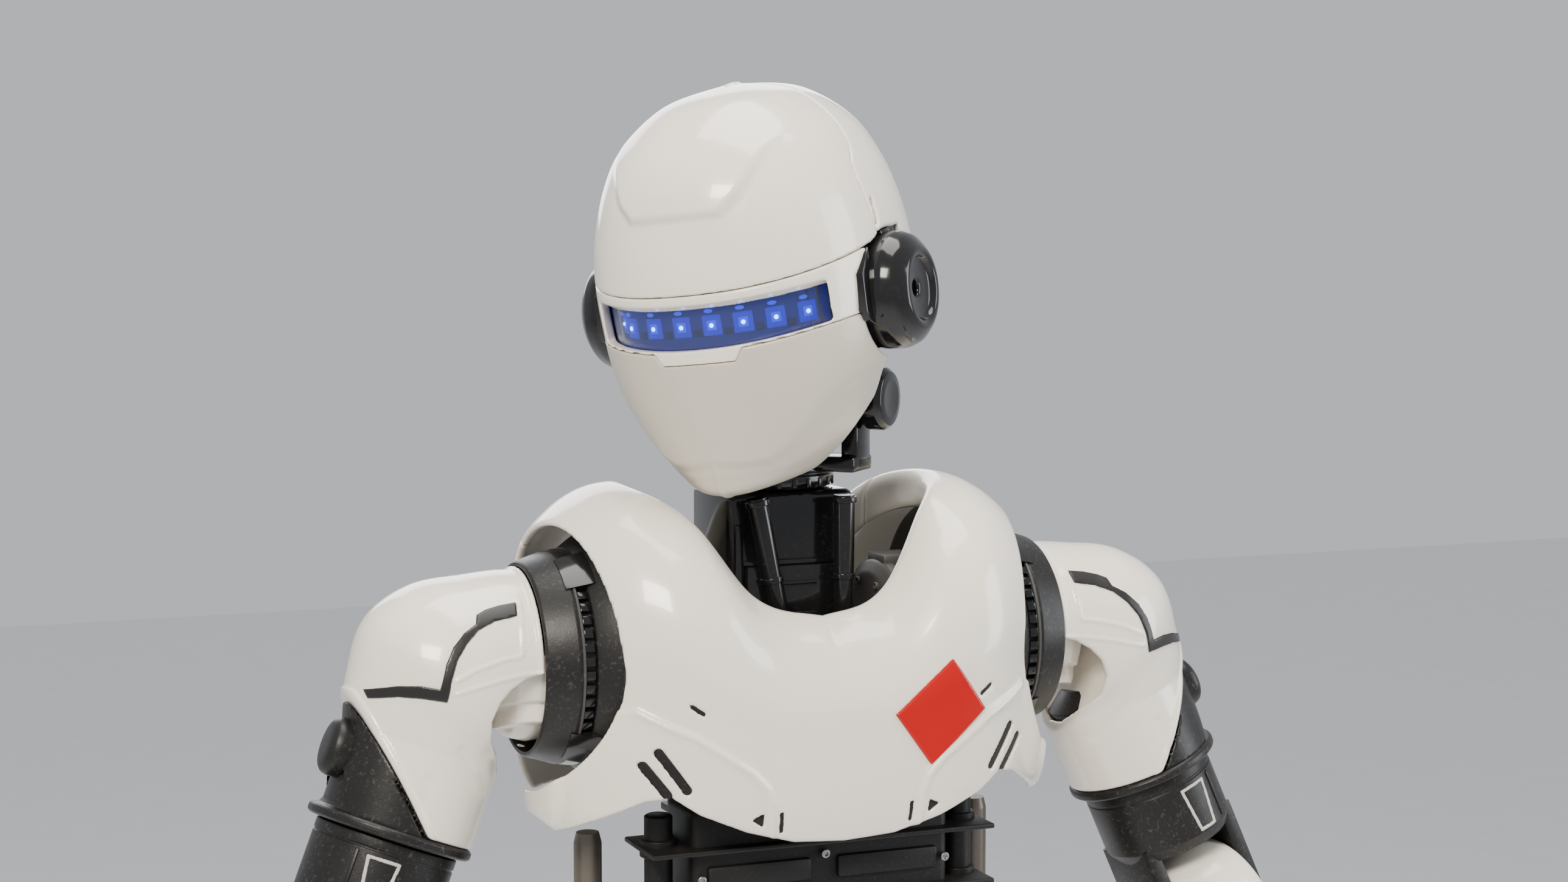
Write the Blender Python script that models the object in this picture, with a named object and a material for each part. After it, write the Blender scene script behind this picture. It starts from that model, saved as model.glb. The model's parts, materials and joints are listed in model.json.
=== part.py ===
"""A life-size walking humanoid robot, 1.65 m tall: head, torso, two arms, pelvis and two legs.

Every sub-part is one object.  Each moving group hangs on an empty that sits on its joint's axis.
The robot faces -Y, its left side is +X, and the floor is Z = 0.  The right side mirrors the left one.
"""

import math

import bmesh
import bpy
from mathutils import Matrix, Vector

MM = 0.001
WALL = 4 * MM
BODY_Y = 0.1432
CHEST_HEIGHT = 1.340

# shoulder, measured from the chest's reference point
SHOULDER_AXIS_Y = -12 * MM
SHOULDER_AXIS_Z = -12 * MM
SHOULDER_CUT_RADIUS = 73.5 * MM
DOME_RADIUS = 80 * MM
DOME_CENTRE_X = 79 * MM
BAND_END_X = 158 * MM
ARM_CENTRE_X = 199 * MM
ARM_SPREAD = math.radians(22)
ARM_FORWARD = math.radians(6)
ARMPIT_X = 163 * MM
ARMPIT_Z = -78 * MM
LIP_Z = -94 * MM
UPPER_ARM_RADIUS = 40 * MM
ELBOW_Z = -200 * MM
ELBOW_RADIUS = 47 * MM
FOREARM_TURN = math.radians(8)
FOREARM_BEND = math.radians(60)
WRIST_Z = -207 * MM
HAND_TURN = math.radians(-90)

# head and neck
PITCH_AXIS_Z = 131 * MM
HEAD_YAW = math.radians(-46)
HEAD_NOD = math.radians(8)
HEAD_ROLL = math.radians(-5.5)
HEAD_CENTRE = Vector((0, -19.6, 62)) * MM
EAR_CENTRE = Vector((0, -4, -6.6)) * MM
EAR_RADIUS = 32.5 * MM

# waist and legs, heights above the floor
WAIST_Z = 1.078
HIP_YAW_Z = 0.956
HIP_ROLL_Z = 0.910
HIP_PITCH_Z = 0.870
KNEE_Z = 0.480
ANKLE_PITCH_Z = 0.118
ANKLE_ROLL_Z = 0.095
LEG_X = 0.090
SOLE_LENGTH = 0.250
SOLE_WIDTH = 0.104
HEEL_SHARE = 0.36
# height above the sole in millimetres: share of the width, of the toe's and of the heel's length
FOOT_SHAPE = [(0, 1, 1, 1), (12, 1, 1, 1), (24, 0.96, 0.86, 0.97), (36, 0.84, 0.4, 0.86)]

WHITE = (0.84, 0.80, 0.72)
MASK_GREY = (0.62, 0.57, 0.49)
BLACK = (0.020, 0.020, 0.019)
GREY = (0.12, 0.11, 0.10)
STEEL = (0.45, 0.45, 0.46)
BLUE = (0.02, 0.06, 0.60)


# ---------------------------------------------------------------- materials, objects and frames

def material(name, colour, roughness, metallic, glow):
    made = bpy.data.materials.new(name)
    made.use_nodes = True
    shader = made.node_tree.nodes["Principled BSDF"]
    shader.inputs["Base Color"].default_value = (*colour, 1)
    shader.inputs["Roughness"].default_value = roughness
    shader.inputs["Metallic"].default_value = metallic
    if glow:
        shader.inputs["Emission Color"].default_value = (*colour, 1)
        shader.inputs["Emission Strength"].default_value = glow
    return made


def mirrored(bm):
    """Reflects a mesh in the plane X = 0 and keeps its faces pointing out."""
    bmesh.ops.scale(bm, vec=(-1, 1, 1), verts=bm.verts)
    bmesh.ops.reverse_faces(bm, faces=bm.faces)
    return bm


def add_object(name, bm, frame, side=1):
    if side < 0:
        mirrored(bm)
    mesh = bpy.data.meshes.new(name)
    bm.to_mesh(mesh)
    bm.free()
    mesh.shade_smooth()
    mesh.set_sharp_from_angle(angle=math.radians(35))
    made = bpy.data.objects.new(name, mesh)
    bpy.context.scene.collection.objects.link(made)
    made.parent = frame
    return made


def add_part(name, bm, frame, colour, side=1, roughness=0.4, metallic=0.0, glow=0.0):
    made = add_object(name, bm, frame, side)
    made.data.materials.append(material(name, colour, roughness, metallic, glow))
    return made


def combine(part, operation, shapes, frame, side=1):
    """Cuts, keeps or joins the given shapes with a part.  Each shape is a mesh in the frame's axes."""
    for number, bm in enumerate(shapes):
        cutter = add_object(f"cut_{part.name}_{operation.lower()}_{number}", bm, frame, side)
        cutter.hide_render = True
        cutter.display_type = "WIRE"
        boolean = part.modifiers.new(cutter.name, "BOOLEAN")
        boolean.object = cutter
        boolean.operation = operation
        boolean.solver = "EXACT"


def add_frame(name, parent, place, turn=None):
    """An empty on a joint's axis, placed in its parent's axes."""
    empty = bpy.data.objects.new(name, None)
    empty.empty_display_size = 0.05
    bpy.context.scene.collection.objects.link(empty)
    empty.parent = parent
    rotation = turn.to_4x4() if turn else Matrix.Identity(4)
    empty.matrix_local = Matrix.Translation(place) @ rotation
    return empty


def turned(angle_x=0.0, angle_y=0.0, angle_z=0.0):
    """A rotation about X, then Y, then Z in a frame's own axes, Z outermost."""
    about_z = Matrix.Rotation(angle_z, 3, "Z")
    about_x = Matrix.Rotation(angle_x, 3, "X")
    about_y = Matrix.Rotation(angle_y, 3, "Y")
    return about_z @ about_x @ about_y


# ---------------------------------------------------------------- solids

def loft(sections):
    """A closed body through rings of points that all have the same length."""
    bm = bmesh.new()
    rings = [[bm.verts.new(point) for point in section] for section in sections]
    count = len(rings[0])
    for lower, upper in zip(rings, rings[1:]):
        for i in range(count):
            j = (i + 1) % count
            bm.faces.new((lower[i], lower[j], upper[j], upper[i]))
    bm.faces.new(list(reversed(rings[0])))
    bm.faces.new(rings[-1])
    bmesh.ops.recalc_face_normals(bm, faces=bm.faces)
    return bm


def hollow(outer_sections, inner_sections):
    """A sealed skin between two nested lofts, ready to be cut open."""
    bm = loft(outer_sections)
    inner = loft(inner_sections)
    bmesh.ops.reverse_faces(inner, faces=inner.faces)
    temporary = bpy.data.meshes.new("inner")
    inner.to_mesh(temporary)
    inner.free()
    bm.from_mesh(temporary)
    bpy.data.meshes.remove(temporary)
    return bm


def open_tube(outer_sections, inner_sections):
    """A tube open at both ends, with a wall between the outer and the inner rings."""
    bm = bmesh.new()
    outer = [[bm.verts.new(point) for point in section] for section in outer_sections]
    inner = [[bm.verts.new(point) for point in section] for section in inner_sections]
    count = len(outer[0])
    loop = outer + list(reversed(inner))
    for this, following in zip(loop, loop[1:] + loop[:1]):
        for i in range(count):
            j = (i + 1) % count
            bm.faces.new((this[i], this[j], following[j], following[i]))
    bmesh.ops.recalc_face_normals(bm, faces=bm.faces)
    return bm


def curve_power(value, power):
    return math.copysign(abs(value) ** (2 / power), value)


def oval(half_x, front, back, power, z, count):
    """A flat ring round Z at height z, with its own depth in front (-Y) and behind (+Y)."""
    points = []
    for i in range(count):
        angle = 2 * math.pi * (i + 0.5) / count
        depth = back if math.sin(angle) > 0 else front
        x = half_x * curve_power(math.cos(angle), power)
        y = depth * curve_power(math.sin(angle), power)
        points.append(Vector((x, y, z)))
    return points


def box(low, high, bevel=0.0):
    """A box from its lowest to its highest corner, in millimetres."""
    bm = bmesh.new()
    bmesh.ops.create_cube(bm, size=1)
    low, high = Vector(low) * MM, Vector(high) * MM
    size = high - low
    bmesh.ops.scale(bm, vec=size, verts=bm.verts)
    bmesh.ops.translate(bm, vec=(low + high) / 2, verts=bm.verts)
    if bevel:
        bmesh.ops.bevel(bm, geom=bm.edges[:], offset=bevel * MM, segments=1, affect="EDGES")
    return bm


AXIS_TURN = {
    "X": Matrix.Rotation(math.radians(90), 3, "Y"),
    "Y": Matrix.Rotation(math.radians(-90), 3, "X"),
    "Z": Matrix.Identity(3),
}


def lathe(profile, axis="Z", centre=(0, 0, 0), count=20):
    """Turns (distance along the axis, radius) points, in millimetres, into a closed body."""
    sections = []
    for along, radius in profile:
        ring = []
        for i in range(count):
            angle = 2 * math.pi * i / count
            ring.append(Vector((radius * math.cos(angle), radius * math.sin(angle), along)))
        sections.append([(AXIS_TURN[axis] @ point + Vector(centre)) * MM for point in ring])
    return loft(sections)


def cylinder(radius, start, end, axis="Z", centre=(0, 0, 0), count=20):
    return lathe([(start, radius), (end, radius)], axis, centre, count)


def cup(profile, inner, axis="Z", centre=(0, 0, 0), count=20):
    """A turned body with a turned recess: outer points first, then the recess from its mouth in."""
    return lathe(profile + inner, axis, centre, count)


def prism(points, axis, low, high):
    """An outline extruded along X or Y between two planes, in millimetres."""
    def place(point, level):
        first, second = point
        if axis == "X":
            return Vector((level, first, second)) * MM
        return Vector((first, level, second)) * MM
    return loft([[place(point, low) for point in points], [place(point, high) for point in points]])


def bar(start, end, radius, count=12):
    """A round bar between two points, in millimetres."""
    start, end = Vector(start), Vector(end)
    turn = (end - start).to_track_quat("Z", "Y")
    length = (end - start).length
    bm = cylinder(radius, 0, length, count=count)
    matrix = Matrix.Translation(start * MM) @ turn.to_matrix().to_4x4()
    bmesh.ops.transform(bm, matrix=matrix, verts=bm.verts)
    return bm


def blend(table, key):
    """Reads a table of (key, values) rows with straight lines between its rows."""
    if key <= table[0][0]:
        return table[0][1]
    for (low, before), (high, after) in zip(table, table[1:]):
        if key <= high:
            share = (key - low) / (high - low)
            return [a + (b - a) * share for a, b in zip(before, after)]
    return table[-1][1]


# ---------------------------------------------------------------- head

# height: half width, depth in front, depth behind
HEAD_SHAPE = [
    (-106, (14, 80, 4)),
    (-102, (28, 84, 20)),
    (-92, (44, 87, 44)),
    (-76, (61, 90, 66)),
    (-56, (75, 93, 82)),
    (-34, (83, 95, 92)),
    (-8, (86, 97, 97)),
    (18, (86, 98, 99)),
    (44, (82, 95, 97)),
    (68, (74, 88, 91)),
    (88, (63, 76, 80)),
    (104, (46, 56, 62)),
    (114, (27, 33, 40)),
    (118, (10, 10, 20)),
]
HEAD_POWER = 2.25
HEAD_RING = 28
BROW_RISE = 0.15
BROW_FRONT_Z = 13
REAR_SEAM_Y = 15
JAW_SEAM_Y = -12.6
CHEEK_SEAM_Y = -31
VISOR_LOW_Z = -22
HEAD_LOW_Z = -36
WINDOW_HALF_X = 69
WINDOW_LOW_Z = -13
WINDOW_HIGH_Z = 6
SEAM = 0.6


def head_rings(inset):
    """The head's rings, drawn in by an inset in millimetres."""
    rings = []
    for z, (half_x, front, back) in HEAD_SHAPE:
        level = z * (1 - inset / 112)
        ring = oval(
            max(half_x - inset, 3) * MM,
            max(front - inset, 3) * MM,
            max(back - inset, 3) * MM,
            HEAD_POWER,
            level * MM,
            HEAD_RING,
        )
        rings.append(ring)
    return rings


def head_skin(outer, inner):
    return hollow(head_rings(outer), head_rings(inner))


def brow_z(y):
    return BROW_FRONT_Z + BROW_RISE * (y + 95)


def ear_cutter(side):
    bm = cylinder(EAR_RADIUS / MM + 1, 60, 120, "X", EAR_CENTRE / MM, 20)
    return mirrored(bm) if side < 0 else bm


def build_head(head):
    """The head's shells are slices of one skin, parted by seams, on an inner frame."""
    far = 140
    regions = {
        "helmet_shell": [
            (-far, brow_z(-far)),
            (REAR_SEAM_Y, brow_z(REAR_SEAM_Y)),
            (REAR_SEAM_Y, far),
            (-far, far),
        ],
        "head_rear_shell": [
            (REAR_SEAM_Y + SEAM, HEAD_LOW_Z),
            (far, HEAD_LOW_Z),
            (far, far),
            (REAR_SEAM_Y + SEAM, far),
        ],
        "face_frame": [
            (-far, VISOR_LOW_Z + SEAM),
            (CHEEK_SEAM_Y, VISOR_LOW_Z + SEAM),
            (CHEEK_SEAM_Y, brow_z(CHEEK_SEAM_Y) - SEAM),
            (-far, brow_z(-far) - SEAM),
        ],
        "face_mask": [
            (-far, -far),
            (-50, -far),
            (JAW_SEAM_Y, -64),
            (JAW_SEAM_Y, VISOR_LOW_Z),
            (-far, VISOR_LOW_Z),
        ],
    }
    for name, outline in regions.items():
        colour = MASK_GREY if name == "face_mask" else WHITE
        shell = add_part(name, head_skin(0, WALL / MM), head, colour, roughness=0.25)
        combine(shell, "INTERSECT", [prism(outline, "X", -110, 110)], head)
        combine(shell, "DIFFERENCE", [ear_cutter(1), ear_cutter(-1)], head)
        if name == "face_frame":
            window = box((-WINDOW_HALF_X, -110, WINDOW_LOW_Z), (WINDOW_HALF_X, -30, WINDOW_HIGH_Z))
            combine(shell, "DIFFERENCE", [window], head)
    lens = add_part("visor_lens", head_skin(4.4, 6.4), head, BLACK, roughness=0.08)
    band = box((-72, -110, WINDOW_LOW_Z - 5), (72, -36, WINDOW_HIGH_Z + 5))
    combine(lens, "INTERSECT", [band], head)
    strip = add_part("led_strip", head_skin(11, 13), head, BLUE, roughness=0.5, glow=3.0)
    band = box((-66, -110, -8), (66, -40, 2))
    combine(strip, "INTERSECT", [band], head)
    skull = add_part("skull_frame", box((-34, -52, -44), (34, 55, 66), 6), head, BLACK)
    boss = cylinder(14, -69, 69, "X", EAR_CENTRE / MM, 16)
    combine(skull, "UNION", [boss], head)
    for side, label in ((1, "left"), (-1, "right")):
        radius = EAR_RADIUS / MM
        profile = [(70, 26), (73, radius), (91, radius), (98, 28), (101.5, 25), (103, 19)]
        recess = [(99, 16), (99, 5), (95, 4)]
        disc = cup(profile, recess, "X", EAR_CENTRE / MM, 20)
        add_part(f"ear_disc_{label}", disc, head, BLACK, side, roughness=0.2)


def build_neck(yaw, pitch):
    """A collar with a yoke turns on the neck, and a cross block nods in the yoke."""
    collar_low = 78.5 - PITCH_AXIS_Z / MM
    collar = lathe([(collar_low, 32), (collar_low + 4, 35), (collar_low + 14, 35), (collar_low + 17, 30)])
    yoke = add_part("neck_yoke", collar, yaw, BLACK, roughness=0.25)
    arms = []
    for side in (1, -1):
        arm = box((46, -14, -42), (57, 14, 14))
        foot = box((20, -14, -42), (57, 14, -33))
        hub_profile = [(56, 12), (59, 15), (61, 15), (62, 18), (71, 18), (73.5, 15)]
        hub = lathe(hub_profile, "X", count=16)
        for bm in (arm, foot, hub):
            arms.append(mirrored(bm) if side < 0 else bm)
    combine(yoke, "UNION", arms, yaw)
    cross = add_part("neck_cross", box((-45.5, -12, -11), (45.5, 12, 11), 2), pitch, GREY)
    combine(cross, "UNION", [cylinder(7, -24, 0, "Y", count=12)], pitch)


# ---------------------------------------------------------------- torso

# half width: depth in front, depth behind, middle height, rise above it, fall below it
TORSO_SHAPE = [
    (0, (113, 104, -45, 76, 95)),
    (40, (113, 104, -42, 84, 96)),
    (70, (111, 102, -28, 106, 108)),
    (95, (104, 98, -12, 96, 120)),
    (115, (92, 88, -8, 88, 120)),
    (130, (79, 76, -8, 79, 113)),
    (145, (62, 58, -8, 64, 105)),
    (155, (48, 44, -8, 46, 94)),
    (160, (24, 22, -8, 20, 60)),
]
TORSO_STATIONS = [0, 36, 66, 90, 108, 122, 134, 145, 154, 160]
TORSO_RING = 30
UPPER_POWER = 2.1
LOWER_POWER = 4.0
# the lower edge of the chest shell, from its middle out to the tip of each wing
CHEST_EDGE = [(0, -109), (30, -107), (58, -99), (84, -88), (98, -78.5), (111, -81), (127, -91), (147, -104)]
NECK_HOLE = (90, 66, -5)
BACK_EDGE_Z = -104


def torso_ring(x, inset):
    front, back, middle, rise, fall = blend(TORSO_SHAPE, abs(x))
    points = []
    for i in range(TORSO_RING):
        angle = 2 * math.pi * (i + 0.5) / TORSO_RING
        depth = back if math.cos(angle) > 0 else front
        height = rise if math.sin(angle) > 0 else fall
        power = UPPER_POWER if math.sin(angle) > 0 else LOWER_POWER
        y = max(depth - inset, 2) * curve_power(math.cos(angle), power)
        z = middle + max(height - inset, 2) * curve_power(math.sin(angle), power)
        points.append(Vector((x * (1 - inset / 160), y, z)) * MM)
    return points


def torso_skin():
    stations = [-x for x in reversed(TORSO_STATIONS[1:])] + TORSO_STATIONS
    outer = [torso_ring(x, 0) for x in stations]
    inner = [torso_ring(x, WALL / MM) for x in stations]
    return hollow(outer, inner)


def shoulder_cutter(side):
    centre = (0, SHOULDER_AXIS_Y / MM, SHOULDER_AXIS_Z / MM)
    bm = cylinder(SHOULDER_CUT_RADIUS / MM, 96, 200, "X", centre, 32)
    return mirrored(bm) if side < 0 else bm


def neck_cutter():
    half_x, half_y, centre_y = NECK_HOLE
    rings = []
    for z in (0, 120):
        ring = oval(half_x * MM, half_y * MM, half_y * MM, 2, z * MM, 32)
        rings.append([point + Vector((0, centre_y * MM, 0)) for point in ring])
    return loft(rings)


def build_shells(torso):
    """The chest shell reaches over both shoulders, and the back shell meets it there."""
    lower_edge = [(-x, z) for x, z in reversed(CHEST_EDGE[1:])] + CHEST_EDGE
    chest_outline = lower_edge + [(165, -90), (165, 130), (-165, 130), (-165, -90)]
    back_outline = [(-165, BACK_EDGE_Z), (165, BACK_EDGE_Z), (165, 130), (-165, 130)]
    chest_side = [(-130, -150), (-14, -150), (-14, 14), (34, 14), (34, 130), (-130, 130)]
    back_side = [(-14 + SEAM, -150), (130, -150), (130, 130)]
    back_side += [(34 + SEAM, 130), (34 + SEAM, 13.4), (-13.4, 13.4)]
    for name, front, side_view in (
        ("chest_shell", chest_outline, chest_side),
        ("back_shell", back_outline, back_side),
    ):
        shell = add_part(name, torso_skin(), torso, WHITE, roughness=0.2)
        keep = [prism(front, "Y", -140, 140), prism(side_view, "X", -170, 170)]
        combine(shell, "INTERSECT", keep, torso)
        cuts = [shoulder_cutter(1), shoulder_cutter(-1), neck_cutter()]
        combine(shell, "DIFFERENCE", cuts, torso)


def build_torso(torso):
    spine = add_part("torso_frame", box((-44, 8, -255), (44, 66, -26)), torso, BLACK)
    extra = [
        box((-54, -42, -62), (54, 30, -26)),
        box((-130, -70, -261), (130, 60, -246)),
    ]
    combine(spine, "UNION", extra, torso)
    plates = add_part("abdomen_frame", box((-78, -76, -244), (78, -30, -92), 4), torso, BLACK, roughness=0.3)
    ribs = []
    for level in (-116, -148, -180, -212):
        ribs.append(box((-104, -84, level), (104, -34, level + 3)))
    for side in (1, -1):
        post = cylinder(8, -244, -96, centre=(92 * side, -58, 0), count=12)
        ribs.append(post)
    combine(plates, "UNION", ribs, torso)
    for side, label in ((1, "left"), (-1, "right")):
        motor_profile = [(55, 38), (60, 46), (84, 46), (94.5, 40)]
        centre = (0, SHOULDER_AXIS_Y / MM, SHOULDER_AXIS_Z / MM)
        motor = lathe(motor_profile, "X", centre)
        add_part(f"shoulder_motor_{label}", motor, torso, GREY, side)
        rod = bar((121, -20, -245.5), (121, -20, -112), 8)
        add_part(f"waist_rod_{label}", rod, torso, STEEL, side, metallic=0.4)


def build_neck_column(torso):
    """The fixed column carries the neck's turning collar, and two tubes run down its front."""
    column = add_part("neck_column", box((-39, -30, -25.5), (39, 32, 78), 4), torso, BLACK, roughness=0.2)
    combine(column, "UNION", [box((-30, -36, -20), (30, -28, 36))], torso)
    for side, label in ((1, "left"), (-1, "right")):
        foot = Vector((26 if side > 0 else 8, -43.5, -20))
        top = Vector((27, -42.5, 76))
        tube = bar(foot, top, 6, 10)
        add_part(f"neck_tube_{label}", tube, torso, BLACK, side, roughness=0.1)


# ---------------------------------------------------------------- arms

# angle round the armpit: distance of the sleeve's centre from it, sleeve radius
SLEEVE_SHAPE = [
    (0, (66, 50.5)),
    (13, (66, 52)),
    (27, (69, 55)),
    (40, (69, 55)),
    (55, (63, 49)),
    (68, (58, 45.5)),
]
SLEEVE_STRAIGHT = 45
SLEEVE_RING = 24


def sleeve_rings(inset):
    """Rings that fan round the armpit from the shoulder band to the arm, then run down the arm."""
    rings = []
    spread = ARM_SPREAD
    for angle, (distance, radius) in SLEEVE_SHAPE:
        out = math.radians(angle)
        rings.append(fan_ring(out, distance, radius - inset, 0))
    last_angle, (distance, radius) = SLEEVE_SHAPE[-1]
    rings.append(fan_ring(math.pi / 2 - spread, distance, radius - inset, SLEEVE_STRAIGHT))
    return rings


def fan_ring(angle, distance, radius, further):
    """A circle in a plane through the armpit line, moved on along the plane's normal."""
    outward = Vector((math.sin(angle), 0, math.cos(angle)))
    along = Vector((math.cos(angle), 0, -math.sin(angle)))
    armpit = Vector((ARMPIT_X / MM, SHOULDER_AXIS_Y / MM, ARMPIT_Z / MM))
    centre = armpit + outward * distance + along * further
    points = []
    for i in range(SLEEVE_RING):
        turn = 2 * math.pi * i / SLEEVE_RING
        offset = outward * math.cos(turn) + Vector((0, 1, 0)) * math.sin(turn)
        points.append((centre + offset * radius) * MM)
    return points


def in_arm(bm, arm_from_torso):
    """Moves a mesh drawn in the torso's axes into the arm's axes."""
    bmesh.ops.transform(bm, matrix=arm_from_torso, verts=bm.verts)
    return bm


def build_shoulder(shoulder, arm, arm_from_torso, side, label):
    """The band turns with the shoulder; the sleeve and its core swing on the band."""
    dome = []
    for x in (99, 107, 115, 123, 131):
        reach = x - DOME_CENTRE_X / MM
        dome.append((x, math.sqrt((DOME_RADIUS / MM) ** 2 - reach**2)))
    profile = [(97, 40), (97, 74)] + dome + [(131.5, 56.5), (137.5, 56.5), (138, 60), (142, 60), (158, 54.5)]
    recess = [(158, 51.8), (133, 51.8), (133, 30)]
    ring = cup(profile, recess, "X", count=24)
    add_part(f"shoulder_ring_{label}", ring, shoulder, BLACK, side, roughness=0.3)
    inner_profile = [(133.3, 26), (133.3, 44), (160, 43), (171, 39), (178, 30), (180, 16)]
    inner = add_part(f"inner_sleeve_{label}", lathe(inner_profile, "X", count=20), shoulder, WHITE, side)
    upper_half = box((125, -60, -8), (190, 60, 60))
    combine(inner, "DIFFERENCE", [upper_half], shoulder, side)
    sleeve = open_tube(sleeve_rings(0), sleeve_rings(WALL / MM))
    sleeve = in_arm(sleeve, arm_from_torso)
    cover = add_part(f"shoulder_cover_{label}", sleeve, arm, WHITE, side, roughness=0.2)
    far = 90
    corner = (258, -24)
    foot = (227, -96)
    outer_cut = prism([corner, (300, -24), (300, -160), (198, -160), foot], "Y", -far, far)
    armpit_cut = cylinder(44, -far, far, "Y", (148, 0, -66), 28)
    seat = box((140, -far, -far), (158.6, far, far))
    cuts = [in_arm(bm, arm_from_torso) for bm in (outer_cut, armpit_cut, seat)]
    combine(cover, "DIFFERENCE", cuts, arm, side)
    core_profile = [(-34, 28), (-44, 40.5), (-93, 40.5), (-94, 46), (-98.6, 46), (-99.6, 42)]
    core = lathe(core_profile)
    add_part(f"shoulder_core_{label}", core, arm, BLACK, side)


def build_upper_arm(upper_arm, side, label):
    """A round arm with two ears that hold the elbow's knuckle."""
    elbow = ELBOW_Z / MM
    body = lathe([(-100, 36), (-100.5, 40), (-140, 40), (-147, 36)], count=24)
    arm = add_part(f"upper_arm_{label}", body, upper_arm, BLACK, side)
    ears = []
    for x in (26, -36):
        ear = [(-22, -140), (-22, elbow), (-14, elbow - 18), (14, elbow - 18), (22, elbow), (22, -140)]
        ears.append(prism(ear, "X", x, x + 10))
    combine(arm, "UNION", ears, upper_arm, side)


def build_forearm(forearm, side, label):
    """A knuckle between the elbow's ears, and a tapered tube round a core that ends in a flange."""
    knuckle_steps = []
    for x in (-25.4, -14, 0, 14, 25.4):
        knuckle_steps.append((x, math.sqrt((ELBOW_RADIUS / MM) ** 2 - x**2)))
    knuckle = lathe(knuckle_steps, "X")
    shell = add_part(f"forearm_shell_{label}", knuckle, forearm, WHITE, side, roughness=0.2)
    tube_profile = [(-30, 24), (-42, 36), (-60, 40), (-110, 38), (-170, 31), (-192, 29)]
    recess = [(-192, 25.5), (-96, 25.5)]
    tube = cup(tube_profile, recess, count=24)
    combine(shell, "UNION", [tube], forearm, side)
    core_profile = [(-97, 18), (-97, 22), (-190, 22), (-196, 27), (-204, 27), (-206, 22)]
    add_part(f"forearm_core_{label}", lathe(core_profile, count=20), forearm, BLACK, side)


def build_hand(hand, fingers, thumb, side, label):
    """The palm carries a row of four fingers on one knuckle line, and a thumb."""
    palm = add_part(f"palm_{label}", box((-37, -13, -84), (37, 15, -8), 5), hand, BLACK, side)
    combine(palm, "UNION", [cylinder(20, -12, 0, count=16)], hand, side)
    row = bmesh.new()
    width, gap, count = 15.0, 4.6, 4
    edges = [-(width * count + gap * (count - 1)) / 2]
    for _ in range(count - 1):
        edges += [edges[-1] + width, edges[-1] + width + gap]
    edges.append(edges[-1] + width)
    top = [[row.verts.new(Vector((x, y, 4)) * MM) for y in (-6, 6)] for x in edges]
    low = [[row.verts.new(Vector((x, y, -9)) * MM) for y in (-8, 8)] for x in edges]
    finger_faces = []
    for i in range(len(edges) - 1):
        row.faces.new((top[i][0], top[i + 1][0], top[i + 1][1], top[i][1]))
        row.faces.new((top[i][0], low[i][0], low[i + 1][0], top[i + 1][0]))
        row.faces.new((top[i][1], top[i + 1][1], low[i + 1][1], low[i][1]))
        face = row.faces.new((low[i][0], low[i][1], low[i + 1][1], low[i + 1][0]))
        if i % 2 == 0:
            finger_faces.append(face)
    row.faces.new((top[0][0], top[0][1], low[0][1], low[0][0]))
    row.faces.new((top[-1][0], low[-1][0], low[-1][1], top[-1][1]))
    for drop, forward, scale in ((26, -3, 1.0), (24, -9, 0.92), (20, -14, 0.8)):
        grown = bmesh.ops.extrude_discrete_faces(row, faces=finger_faces)
        finger_faces = grown["faces"]
        for face in finger_faces:
            middle = face.calc_center_median()
            for vert in face.verts:
                vert.co = middle + (vert.co - middle) * scale + Vector((0, forward, -drop)) * MM
    bmesh.ops.recalc_face_normals(row, faces=row.faces)
    add_part(f"fingers_{label}", row, fingers, BLACK, side)
    thumb_rings = []
    for drop, forward, half in ((2, 0, 8.5), (-24, -3, 8), (-46, -10, 7), (-60, -18, 5)):
        ring = oval(half * MM, half * MM, half * MM, 3, drop * MM, 12)
        thumb_rings.append([point + Vector((0, forward * MM, 0)) for point in ring])
    add_part(f"thumb_{label}", loft(thumb_rings), thumb, BLACK, side)


# ---------------------------------------------------------------- pelvis and legs

def build_pelvis(pelvis):
    frame = add_part("pelvis_frame", box((-96, -42, 957), (96, 42, 1008), 4), pelvis, BLACK)
    extra = [lathe([(1000, 48), (1040, 48), (1077, 42)], count=24)]
    combine(frame, "UNION", extra, pelvis)
    outer = []
    inner = []
    for z, half_x, half_y in ((962, 118, 58), (982, 124, 66), (1012, 120, 66), (1030, 104, 60)):
        outer.append(oval(half_x * MM, half_y * MM, half_y * MM, 3.5, z * MM, 24))
        inset_x, inset_y = half_x * MM - WALL, half_y * MM - WALL
        inner.append(oval(inset_x, inset_y, inset_y, 3.5, z * MM, 24))
    add_part("pelvis_cover", open_tube(outer, inner), pelvis, WHITE, roughness=0.25)


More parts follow.
